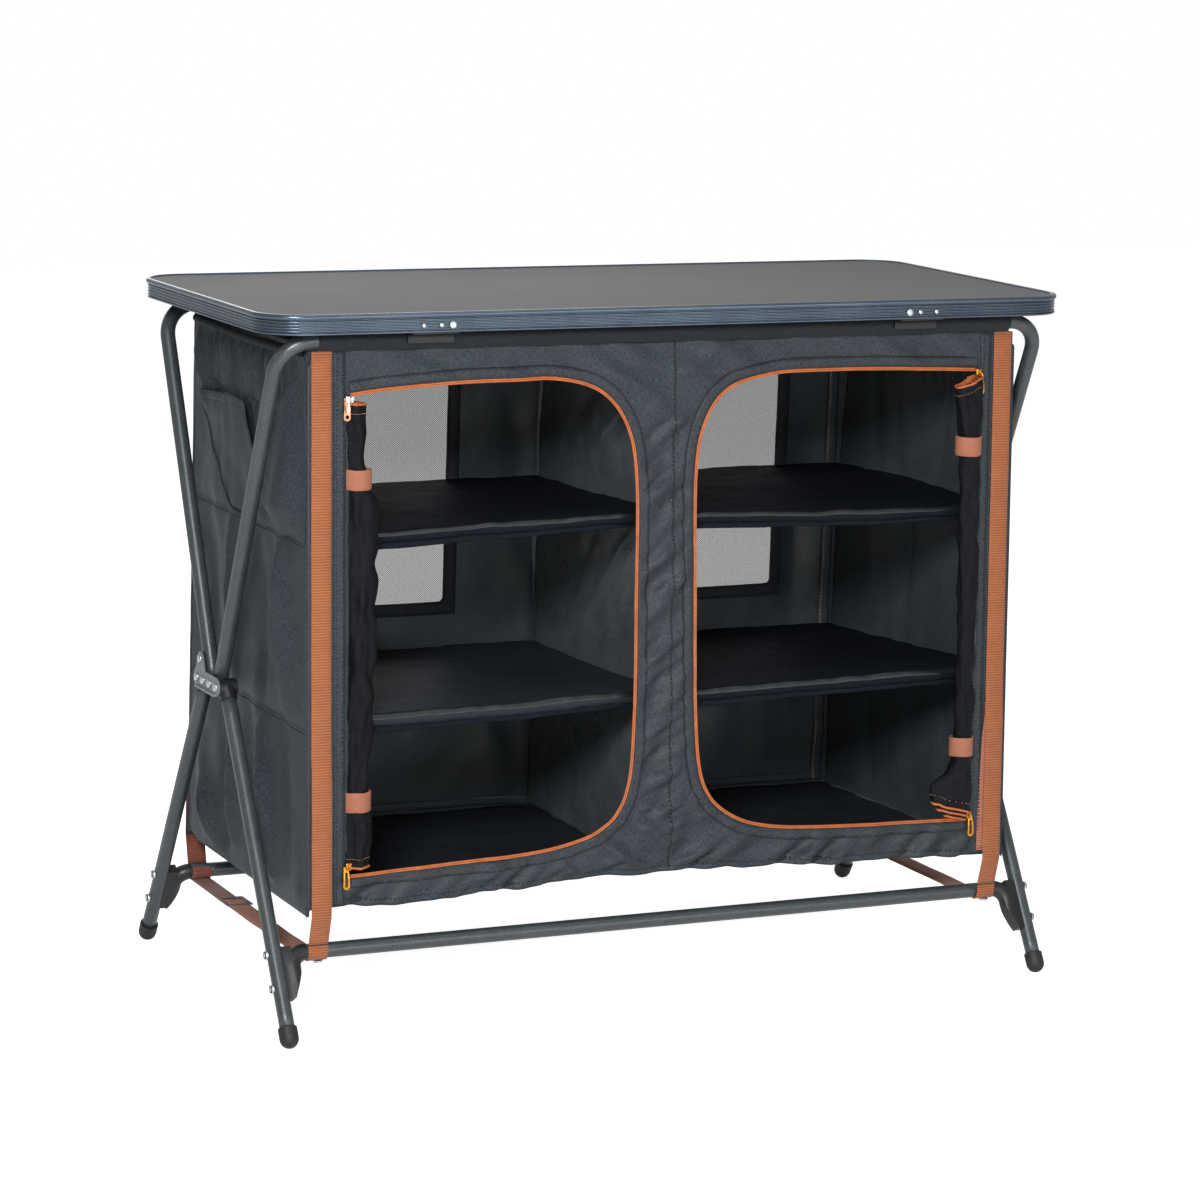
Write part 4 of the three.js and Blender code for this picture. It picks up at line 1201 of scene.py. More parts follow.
@dataclass
class TubeFrame:
    """Upper frames, legs, lower bars and side hinges."""

    sides: int = 32
    sleeve_end: float = 0.474
    leg_start: float = 0.0113
    leg_end: float = 0.0125
    bolt_heights: tuple[float, float] = (0.103, 0.066)
    fixed_rivet_rise: float = 0.026
    plate_outer: float = 0.5362
    head_radius: float = 0.0056
    bolt_proud: float = 0.0037
    hinge_rivet_proud: float = 0.0026

    def leg_point(self, row: Row, side: Side, height: float, out: float = 0.0) -> Vector:
        """A point on a leg's axis at a height, moved outward across the cupboard."""
        reach = PLACE.lower_pivot_out + (PLACE.pivot_height - height) * math.tan(PLACE.leg_lean)
        return Vector((side.value * (PLACE.side_plane + out), row.value * reach, height))

    def upper_route(self, row: Row) -> list[Vector]:
        """Points of an upper frame, up one side, across and down the other."""
        rise = Vector((0, row.value * math.sin(PLACE.upper_lean), math.cos(PLACE.upper_lean)))
        foot = Vector((0, row.value * PLACE.upper_pivot_out, PLACE.pivot_height))
        length = (PLACE.crossbar_height - PLACE.pivot_height) / math.cos(PLACE.upper_lean)
        bend, steps = PLACE.crossbar_bend, 14
        half = [(PLACE.side_plane, up) for up in (-PLACE.tube_radius * 0.9,
                                                  *spaced(0.02, length - bend, 12)[:-1])]
        for k in range(steps + 1):
            turn = math.pi / 2 * k / steps
            half.append((PLACE.side_plane - bend * (1 - math.cos(turn)),
                         length - bend * (1 - math.sin(turn))))
        inner = PLACE.side_plane - bend
        across = [(x, length) for x in spaced(inner, -inner, 20)[1:-1]]
        line = half + across + [(-x, up) for x, up in reversed(half)]
        return [foot + rise * up + Vector((x, 0, 0)) for x, up in line]

    def build(self) -> None:
        """Builds every tube and dresses the moulded and pressed parts."""
        for row in Row:
            upper, lower = row.tube, row.legs
            bm = bmesh.new()
            sweep(bm, circle(PLACE.tube_radius, self.sides), stations_along(self.upper_route(row)))
            finish_piece(f"{row.word}_upper_tube", bm, TUBE_COAT, upper, Slot.TUBE,
                         [f"{row.word}_upper_frame"])
            self.build_bar(row, lower)
            self.build_sleeve(row, upper)
            for side in Side:
                self.build_leg(row, side, lower)
            self.build_bolts(row, lower)
        for side in Side:
            machined(f"hinge_plate_{side.word}", PLATE_COAT, Slot.PLATE, 0.0006)
            machined(f"hinge_liner_{side.word}", BLACK_PLASTIC, Slot.PLASTIC, 0.0003)
        self.build_hinge_rivets()

    def build_bar(self, row: Row, body: Body) -> None:
        """Builds a lower crossbar between its elbows."""
        bm = bmesh.new()
        end = PLACE.lower_bar_end - 0.0003
        points = [Vector((x, row.value * PLACE.lower_bar_out, PLACE.lower_bar_height))
                  for x in spaced(-end, end, 24)]
        sweep(bm, circle(PLACE.tube_radius, self.sides), stations_along(points))
        finish_piece(f"{row.word}_lower_tube", bm, TUBE_COAT, body, Slot.TUBE, [f"{row.word}_lower_bar"])

    def build_leg(self, row: Row, side: Side, body: Body) -> None:
        """Builds a leg and dresses its knuckle, elbow and foot."""
        name = f"{row.word}_%s_{side.word}"
        top = PLACE.pivot_height - self.leg_start * math.cos(PLACE.leg_lean)
        points = [self.leg_point(row, side, height) for height in spaced(top, self.leg_end, 16)]
        bm = bmesh.new()
        sweep(bm, circle(PLACE.tube_radius, self.sides), stations_along(points))
        finish_piece(name % "leg" + "_tube", bm, TUBE_COAT, body, Slot.TUBE, [name % "leg"])
        machined(name % "knuckle", BLACK_PLASTIC, Slot.PLASTIC, 0.0008)
        machined(name % "elbow", BLACK_PLASTIC, Slot.PLASTIC, 0.0008)
        machined(name % "foot", FOOT_RUBBER, Slot.RUBBER, 0.0012)

    def build_bolts(self, row: Row, body: Body) -> None:
        """Builds the bolt heads on the outside of a row's legs."""
        bm = bmesh.new()
        for side in Side:
            for height in self.bolt_heights:
                seat = self.leg_point(row, side, height, PLACE.tube_radius - 0.0002)
                dome(bm, seat, ACROSS * side.value, self.head_radius, self.bolt_proud)
        finish_piece(f"{row.word}_leg_bolts", bm, BARE_METAL, body, Slot.METAL)

    def build_hinge_rivets(self) -> None:
        """Builds the polished pivot and rivet heads on the hinge plates."""
        bm = bmesh.new()
        rise = self.fixed_rivet_rise
        pivots = (PLACE.lower_pivot_out, PLACE.upper_pivot_out)
        places = [(sign * out, PLACE.pivot_height) for out in pivots for sign in (-1, 1)]
        fixed = PLACE.upper_pivot_out + rise * math.tan(PLACE.upper_lean)
        places.append((fixed, PLACE.pivot_height + rise))
        for side in Side:
            for y, z in places:
                seat = Vector((side.value * (self.plate_outer - 0.0001), y, z))
                dome(bm, seat, ACROSS * side.value, self.head_radius, self.hinge_rivet_proud)
        finish_piece("hinge_rivets", bm, BARE_METAL, Body.REAR_TUBE, Slot.METAL)

    def build_sleeve(self, row: Row, body: Body) -> None:
        """Builds the cloth sleeve round an upper crossbar, puckered along its seam."""
        bm = bmesh.new()
        radius = PLACE.tube_radius + 0.0013
        route = []
        for x in spaced(-self.sleeve_end, self.sleeve_end, 150):
            puff = 1 + 0.05 * ripple(x, row.value, 0.02, 3.0) + 0.03 * ripple(x, row.value, 0.006, 5.0)
            centre = Vector((x, row.value * PLACE.crossbar_out, PLACE.crossbar_height))
            route.append(Station(centre, BACK, UP, puff))
        section = []
        for a, b in circle(radius, 24):
            below = clamp(-b / radius)
            section.append((a * (1 - 0.25 * below ** 2), b * (1 + 0.22 * below ** 3)))
        sweep(bm, section, route)
        finish_piece(f"{row.word}_sleeve_cloth", bm, SLEEVE_CLOTH, body, Slot.CLOTH,
                     [f"{row.word}_sleeve"])


# Cloth walls


def ribbon(line: Line, inner: float, outer: float, pitch: float, rows: int = 3) -> Mesh:
    """A flat strip beside a line, its UV map along and across it.

    Args:
        line: the line that it follows.
        inner: distance of its first edge from the line.
        outer: distance of its second edge.
        pitch: length of its cells.
        rows: cells across.

    Returns:
        The strip, still flat.
    """
    places = walk(line, pitch)
    bm = bmesh.new()
    layer = bm.loops.layers.uv.verify()
    bmesh.ops.create_grid(bm, x_segments=len(places) - 1, y_segments=rows, size=0.5)
    spots = {}
    for vert in bm.verts:
        index = round((vert.co.x + 0.5) * (len(places) - 1))
        (x, y), (dx, dy) = places[index]
        away = mix(inner, outer, vert.co.y + 0.5)
        spots[vert] = (away, index * pitch)
        vert.co = (x - dy * away, y + dx * away, 0)
    for face in bm.faces:
        for loop in face.loops:
            loop[layer].uv = spots[loop.vert]
    return bm


def sewn_strip(name: str, flat: Mesh, place: Hang, finish: Finish, body: Body, slot: Slot,
               thick: float) -> Piece:
    """Lays a flat strip on its cloth.

    Args:
        name: the piece's name.
        flat: the strip.
        place: gives the place of a flat point.
        finish: its finish.
        body: what it rides on.
        slot: the record's finish slot.
        thick: its thickness, to both sides.

    Returns:
        The piece.
    """
    hang(flat, place)
    bmesh.ops.recalc_face_normals(flat, faces=flat.faces)
    return finish_piece(name, flat, finish, body, slot, thick=thick, offset=0.0)


def sew(bm: Mesh, line: Line, place: Hang, outward: Vector, pitch: float, length: float,
        thick: float) -> None:
    """Sews a row of stitches along a flat line.

    Args:
        bm: the mesh to add to.
        line: the line.
        place: gives the place of a flat point.
        outward: the way that the cloth faces.
        pitch: from one stitch to the next.
        length: a stitch's length.
        thick: its thickness.
    """
    places = []
    for (a, b), (da, db) in walk(line, pitch):
        start, end = (place(a + da * step, b + db * step) for step in (-0.001, 0.001))
        places.append(((start + end) / 2, end - start, outward))
    stitch(bm, places, length, thick)


@dataclass
class Wall:
    """A cloth wall in its lean, with the folds that its tension gives it."""

    row: Row
    folds: tuple[Fold, ...] = ()
    hem: tuple[Flat, ...] = ()
    seed: float = 0.0
    slack: float = 0.0016

    def hem_drop(self, x: float) -> float:
        """How far the lower edge stands from the panel's straight lower edge."""
        for (x0, z0), (x1, z1) in zip(self.hem, self.hem[1:]):
            if x0 <= x <= x1:
                return mix(z0, z1, ease((x - x0) / (x1 - x0))) - PLACE.cabinet_bottom
        return 0.0

    def relief(self, x: float, z: float) -> float:
        """How proud the cloth stands at a place."""
        lift = self.slack * ripple(x, z, 0.11, self.seed)
        lift += 0.5 * self.slack * ripple(x, z, 0.035, self.seed + 9)
        return lift + 2.6 * sum(fold.at(x, z) for fold in self.folds)

    def place(self, x: float, z: float, proud: float = 0.0) -> Vector:
        """The place of a flat point, its lower hem drawn to shape."""
        near_hem = 1 - ease((z - PLACE.cabinet_bottom) / 0.045)
        height = z + self.hem_drop(x) * near_hem
        return PLACE.on_wall(self.row, x, height, proud + self.relief(x, z))

    def lie(self, proud: float) -> Hang:
        """A placing function at a height above the cloth."""
        return lambda x, z: self.place(x, z, proud)

    def seam(self, bm: Mesh, line: Line, proud: float = 0.0007, pitch: float = 0.0052) -> None:
        """Sews a row of stitches along a line of the wall."""
        outward = self.place(0, 0.5, 1.0) - self.place(0, 0.5)
        sew(bm, line, self.lie(proud), outward, pitch, pitch * 0.62, 0.0018)


@dataclass
class FrontWall(Wall):
    """Front panel with its two door openings, zips, rolled doors and straps."""

    doors: tuple[tuple[Flat, ...], ...] = (
        (
            (-0.431, 0.7885), (-0.38, 0.794), (-0.3, 0.799), (-0.22, 0.8), (-0.153, 0.799),
            (-0.099, 0.782), (-0.064, 0.739), (-0.05, 0.67), (-0.049, 0.519), (-0.05, 0.37),
            (-0.059, 0.278), (-0.093, 0.232), (-0.168, 0.21), (-0.3, 0.203), (-0.4325, 0.198)),
        (
            (0.431, 0.7935), (0.33, 0.798), (0.22, 0.8), (0.14, 0.798), (0.078, 0.782), (0.046, 0.745),
            (0.032, 0.679), (0.033, 0.52), (0.036, 0.365), (0.047, 0.28), (0.082, 0.239), (0.14, 0.218),
            (0.24, 0.21), (0.34, 0.207), (0.4315, 0.205)))
    cell: float = 0.0042
    thickness: float = 0.0018
    roll_radius: float = 0.0165
    roll_turns: float = 3.2
    roll_steps: int = 108
    roll_out: float = 0.0036
    tie_heights: tuple[tuple[float, float], ...] = ((0.290, 0.686), (0.303, 0.696))
    tie_width: float = 0.025
    corner: float = 0.02
    side_seam: float = 0.4440
    side_seam_width: float = 0.015
    facing: tuple[float, float] = (0.003, 0.0155)
    facing_seams: tuple[float, float] = (0.0062, 0.0132)
    coils: tuple[float, float] = (-0.0009, 0.0014)
    coil_radius: float = 0.0012
    tab_thickness: float = 0.0014
    tab_forward: float = 0.0036

    def relief(self, x: float, z: float) -> float:
        """How proud the cloth stands: its folds, and the pull between both doors and along the hem."""
        lift = super().relief(x, z)
        along, across = x * 0.80 + z * 0.60, z * 0.80 - x * 0.60
        column = math.exp(-((x + 0.008) / 0.036) ** 6) * ease((z - 0.16) / 0.05) * ease((0.80 - z) / 0.10)
        lift += 0.0135 * column * ripple(along, across * 4.2, 0.062, 3.7)
        low = 1 - ease((z - 0.175) / 0.04)
        lift += 0.0130 * low * ripple(x * 1.5 - z * 1.2, z * 0.5, 0.038, 5.1)
        high = ease((z - 0.775) / 0.03)
        lift += 0.0060 * high * ripple(x + z * 1.4, z * 0.7, 0.045, 6.3)
        rim = math.exp(-((abs(x) - 0.443) / 0.016) ** 2)
        lift += 0.0014 * rim * ripple(x, z, 0.024, 8.8)
        pulled = math.exp(-((abs(x + 0.008) - 0.037) / 0.012) ** 2) + 0.6 * math.exp(-(x / 0.006) ** 2)
        pulled *= ease((z - 0.22) / 0.05) * ease((0.77 - z) / 0.05)
        return lift * mix(0.12, 1.0, ease((0.452 - abs(x)) / 0.022)) * (1 - 0.8 * min(pulled, 1.0))

    def build(self) -> None:
        """Builds the wall and everything that is sewn to it."""
        lines = [Outline(points) for points in self.doors]
        self.build_panel(lines)
        self.build_facings(lines)
        for side, line in zip(Side, lines):
            self.build_zip(side, line)
            self.build_roll(side)
            self.build_ties(side)
            self.build_pulls(side)

    def build_panel(self, lines: Sequence[Outline]) -> None:
        """Builds the panel, cut for both doors, and its seams."""
        half, low, high = PLACE.cabinet_half, PLACE.cabinet_bottom, PLACE.cabinet_top
        bm = flat_cloth(-half, half, low, high, self.cell)
        for line in lines:
            cut_away(bm, line)
        corner = self.corner
        edge = Outline([(-half, low), (half, low), (half, high - corner), (half - corner, high),
                        (corner - half, high), (-half, high - corner), (-half, low)], steps=1)
        cut_away(bm, edge, inside=False)
        lay_threads(bm)
        hang(bm, self.lie(0.0))
        panel = finish_piece("front_panel_cloth", bm, CABINET_CLOTH, Body.FRONT_WALL, Slot.CLOTH,
                             ["front_panel"], thick=self.thickness)
        area = 4 * half * (high - low) / 2 - sum(abs(shoelace(line.points)) for line in lines)
        threads = bmesh.new()
        middle = [(0.0008, z) for z in spaced(low + 0.006, high - 0.004, 160)]
        self.seam(threads, middle)
        # A thin dark cord beside the middle seam's stitches is painted shade of the seam's groove.
        cord(threads, [self.place(x + 0.0016, z, 0.0001) for x, z in middle], 0.0006, 6)
        self.seam(threads, [(x, low + 0.009) for x in spaced(-half, half, 90)])
        finish_piece("front_panel_seams", threads, DARK_THREAD, Body.FRONT_WALL, Slot.CLOTH)

    def build_facings(self, lines: Sequence[Outline]) -> None:
        """Builds the folded facings round the doors and the binding of both side edges."""
        threads = bmesh.new()
        for side, line in zip(Side, lines):
            turn = 1 if side is Side.LEFT else -1
            bm = ribbon(line.points, turn * self.facing[0], turn * self.facing[1], self.cell)
            hang(bm, self.lie(0.0012), turned=side is Side.LEFT)
            finish_piece(f"door_facing_{side.word}", bm, CABINET_CLOTH, Body.FRONT_WALL, Slot.CLOTH,
                         thick=0.0012)
            for away in self.facing_seams:
                self.seam(threads, line.beside(turn * away)[4:-4], 0.0019)
            # A thin dark cord along the facing's outer edge is painted shade where the folded facing steps
            # down to the panel.
            edge = [self.place(x, z, 0.0006) for (x, z), _ in walk(line.beside(turn * 0.0158)[2:-2], 0.004)]
            cord(threads, evened(edge, 2), 0.0007, 6)
        low, high = PLACE.cabinet_bottom + 0.002, PLACE.cabinet_top - 0.002
        for side in Side:
            x = side.value * self.side_seam
            strip = [(x, z) for z in spaced(low, high, 100)]
            half = self.side_seam_width / 2
            sewn_strip(f"side_seam_{side.word}", ribbon(strip, -half, half, self.cell), self.lie(0.0009),
                       CABINET_CLOTH, Body.FRONT_WALL, Slot.CLOTH, 0.001)
            for away in (-0.0045, 0.0045):
                self.seam(threads, [(x + away, z) for _, z in strip], 0.0020)
        finish_piece("door_facing_seams", threads, DARK_THREAD, Body.FRONT_WALL, Slot.CLOTH)

    def build_zip(self, side: Side, line: Outline) -> None:
        """Builds the two coils of a door's zip."""
        bm = bmesh.new()
        turn = 1 if side is Side.LEFT else -1
        for away in self.coils:
            points = [self.place(x, z, 0.0016) for (x, z), _ in walk(line.beside(turn * away), 0.004)]
            cord(bm, evened(points, 2), self.coil_radius, 8)
        finish_piece(f"door_zip_{side.word}", bm, PIPING_CORD, Body.FRONT_WALL, Slot.CLOTH)

    def roll_centre(self, side: Side, z: float) -> Vector:
        """The middle of a rolled door at a height."""
        sway = 0.001 * math.sin(11 * z + side.value)
        across = PLACE.door_outer + self.roll_out - self.roll_radius * self.roll_size(side, z) + sway
        depth = -0.005 if side is Side.LEFT else 0.003
        return PLACE.on_wall(self.row, side.value * across, z, depth + 0.0015 * math.sin(17 * z))

    def roll_size(self, side: Side, z: float) -> float:
        """How full the roll is at a height."""
        return height_at(ROLL_SIZES[side], z)

    def roll_ends(self, side: Side, share: float, outward: float) -> Flat:
        """The roll's lower and upper edge.

        Args:
            side: which door.
            share: share of the way inward through the turns.
            outward: distance from the roll's middle towards the cupboard's side.

        Returns:
            Both heights.
        """
        if side is Side.LEFT:
            return 0.209 - 0.0015 * share, 0.777 + 0.002 * share
        spread = outward * (2.9 if outward < 0 else 1.0)
        return 0.2215 - 0.33 * spread - 0.0190 * share, 0.779 + 0.5 * outward - 0.003 * share

    def flare(self, side: Side, z: float) -> float:
        """How much wider than round the roll hangs towards the middle of its door."""
        return height_at(ROLL_FLARES[side], z)

    def ties(self, side: Side) -> Flat:
        """Heights of a roll's lower and upper tie."""
        return self.tie_heights[(side.value + 1) // 2]

    def roll_section(self, side: Side) -> list[Flat]:
        """The spiral that a door is rolled to, from its outer end inward."""
        section = []
        for k in range(self.roll_steps + 1):
            share = k / self.roll_steps
            turn = 2 * math.pi * self.roll_turns * (1 - share)
            radius = self.roll_radius * mix(0.98, 0.3, share)
            section.append((radius * math.cos(turn) * side.value, radius * math.sin(turn) * 0.96))
        return section

    def roll_point(self, side: Side, corner: Flat, z: float) -> Vector:
        """Where a corner of the spiral lies at a height: creased, and held in by the ties."""
        a, b = corner
        size, skin = self.roll_size(side, z), Vector((a, b, 0)).normalized() * self.roll_radius
        held = 1 - 0.75 * max(math.exp(-((z - height) / 0.016) ** 2) for height in self.ties(side))
        crease = 0.36 * noise.noise((skin + Vector((0, 0, z * 0.16 + side.value))) / 0.0085)
        crease += 0.24 * noise.noise((skin + Vector((0.3, 0.1, z * 0.7))) / 0.017)
        size *= 1 + crease * held
        inward = a * side.value < 0
        wide = 1 + (self.flare(side, z) if inward else 0.0)
        return self.roll_centre(side, z) + Vector((a * wide, b, 0)) * size

    def build_roll(self, side: Side) -> None:
        """Builds a rolled door as a spiral of netting with its edging at both ends."""
        section, steps = self.roll_section(side), self.roll_steps
        cell, rows = 0.004, 150
        bm = flat_cloth(0.0, steps * cell, 0.0, rows * cell, cell)
        for vert in bm.verts:
            index = round(vert.co.x / cell)
            low, high = self.roll_ends(side, index / steps, section[index][0] * side.value)
            vert.co.y = mix(low, high, round(vert.co.y / cell) / rows)
        lay_threads(bm)
        for vert in bm.verts:
            vert.co = self.roll_point(side, section[round(vert.co.x / cell)], vert.co.y)
        bmesh.ops.recalc_face_normals(bm, faces=bm.faces)
        finish_piece(f"rolled_door_net_{side.word}", bm, ROLL_NET, Body.FRONT_WALL, Slot.NET,
                     [f"rolled_door_{side.word}"], thick=0.0009, offset=0.0)
        edging, threads = bmesh.new(), bmesh.new()
        for end, step, radius in ((0, 1, 0.0017), (1, -1, 0.0014)):
            edge = [self.roll_ends(side, i / steps, section[i][0] * side.value)[end]
                    for i in range(steps + 1)]
            cord(edging, [self.roll_point(side, section[i], z) for i, z in enumerate(edge)], radius, 6)
            places = []
            for i in range(1, 34):
                z = edge[i] + step * 0.011
                here, there = (self.roll_point(side, corner, z) for corner in section[i:i + 2])
                outward = here - self.roll_centre(side, z)
                places.append(((here + there) / 2 + outward.normalized() * 0.0008, there - here, outward))
            stitch(threads, places, 0.0026, 0.0008)
        finish_piece(f"rolled_door_edging_{side.word}", edging, PIPING_CORD, Body.FRONT_WALL, Slot.CLOTH)
        finish_piece(f"rolled_door_stitches_{side.word}", threads, PALE_THREAD, Body.FRONT_WALL, Slot.CLOTH)

    def build_ties(self, side: Side) -> None:
        """Builds the elastic ties round a rolled door."""
        for word, height in zip(("lower", "upper"), self.ties(side)):
            centre = self.roll_centre(side, height)
            size = self.roll_radius * self.roll_size(side, height)
            route, steps = [], 36
            for k in range(steps):
                turn = 2 * math.pi * k / steps
                out = Vector((math.cos(turn), math.sin(turn), 0))
                radius = size * (1.0 + 0.09 * abs(math.cos(turn)) ** 6) + 0.0009
                route.append(Station(centre + out * radius, UP, out))
            bm = bmesh.new()
            sweep(bm, band(self.tie_width, 0.0013, 6), route, ring=True)
            for vert in bm.verts:
                vert.co.z += 0.0008 * ripple(vert.co.x, vert.co.y, 0.01, height)
            finish_piece(f"{word}_tie_{side.word}", bm, TIE_CLOTH, Body.FRONT_WALL, Slot.WEBBING)

    def build_pulls(self, side: Side) -> None:
        """Builds the sliders and their pull tabs at both ends of a door's zip."""
        for word, inward in (("upper", 0.004), ("lower", 0.003)):
            node = f"{word}_zip_pull_{side.word}"
            low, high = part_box(node)
            top = Vector(((low.x + high.x) / 2, low.y + 0.0006, high.z))
            pale = word == "upper" and side is Side.LEFT
            drop, sunk, width = (0.0045, 0.0075, 0.0125) if pale else (0.0, 0.0, 0.0085)
            tab_finish, slider_finish = (SLIDER_METAL, NICKEL) if pale else (PULL_METAL, PULL_METAL)
            self.build_tab(node, top + Vector((0, 0, -drop)), (low.y + high.y) / 2, tab_finish,
                           slotted=word == "lower")
            seat = top + Vector((inward * -side.value, -0.0018, -sunk))
            self.build_slider(f"{word}_slider_{side.word}", seat, width, slider_finish)

    def build_tab(self, node: str, top: Vector, y: float, finish: Finish, slotted: bool) -> None:
        """Builds a pull tab: narrow at its eye, round and pierced at its end.

        Args:
            node: its solid.
            top: its upper end.
            y: its depth.
            finish: its finish.
            slotted: True for a long slot, False for a round hole.
        """
        bm = bmesh.new()
        shape = [(0.0030, 0.0), (0.0034, -0.006), (0.0040, -0.014), (0.0044, -0.0215)]
        outline = [*shape, *[(0.0045 * math.cos(a), -0.0235 - 0.0045 * math.sin(a))
                             for a in [math.pi * k / 10 for k in range(11)]]]
        outline += [(-x, z) for x, z in reversed(shape)]
        highest, radius = (-0.008, 0.0017) if slotted else (-0.0230, 0.0024)
        hole = []
        for x, z in outline:
            centre = clamp(z, -0.0230, highest)
            away = Vector((x, z - centre)).normalized() * radius
            hole.append(bm.verts.new((away.x, 0, centre + away.y)))
        outer = [bm.verts.new((x, 0, z)) for x, z in outline]
        for i in range(len(outer)):
            k = (i + 1) % len(outer)
            bm.faces.new((outer[i], outer[k], hole[k], hole[i]))
        bmesh.ops.recalc_face_normals(bm, faces=bm.faces)
        for vert in bm.verts:
            vert.co.y -= self.tab_forward * ease(-vert.co.z / 0.013)
        bmesh.ops.translate(bm, vec=(top.x, y, top.z - 0.0002), verts=bm.verts)
        tab = finish_piece(f"{node}_tab", bm, finish, frame["nodes"][node]["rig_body"], Slot.ORANGE, [node],
                           smooth=False, thick=self.tab_thickness, offset=0.0)
        eased = tab.modifiers.new("eased edges", "BEVEL")
        eased.width, eased.segments = 0.0003, 2

    def build_slider(self, name: str, seat: Vector, width: float, finish: Finish) -> None:
        """Builds a slider's body and the bridge that holds its tab.

        Args:
            name: the piece's name.
            seat: the middle of the body.
            width: its width.
            finish: its finish.
        """
        bm = bmesh.new()
        bmesh.ops.create_cube(bm, size=1.0)
        bmesh.ops.scale(bm, vec=(width, 0.0036, 0.0098), verts=bm.verts)
        for vert in bm.verts:
            if vert.co.z < 0:
                vert.co.x *= 0.78
        bmesh.ops.bevel(bm, geom=list(bm.edges), offset=0.0015, offset_type="OFFSET", segments=3,
                        profile=0.5, affect="EDGES", material=-1)
        bmesh.ops.translate(bm, vec=(seat.x, seat.y, seat.z + 0.0005), verts=bm.verts)
        arch = [Vector((seat.x, seat.y - 0.0016 - 0.0022 * math.sin(math.pi * k / 8),
                        seat.z + 0.0045 - 0.007 * k / 8)) for k in range(9)]
        cord(bm, arch, 0.0010, 8)
        finish_piece(name, bm, finish, Body.FRONT_WALL, Slot.ORANGE)


def shoelace(points: Line) -> float:
    """Area inside a line whose ends are joined."""
    total = 0.0
    for (ax, ay), (bx, by) in zip(points, [*points[1:], points[0]]):
        total += ax * by - bx * ay
    return total / 2


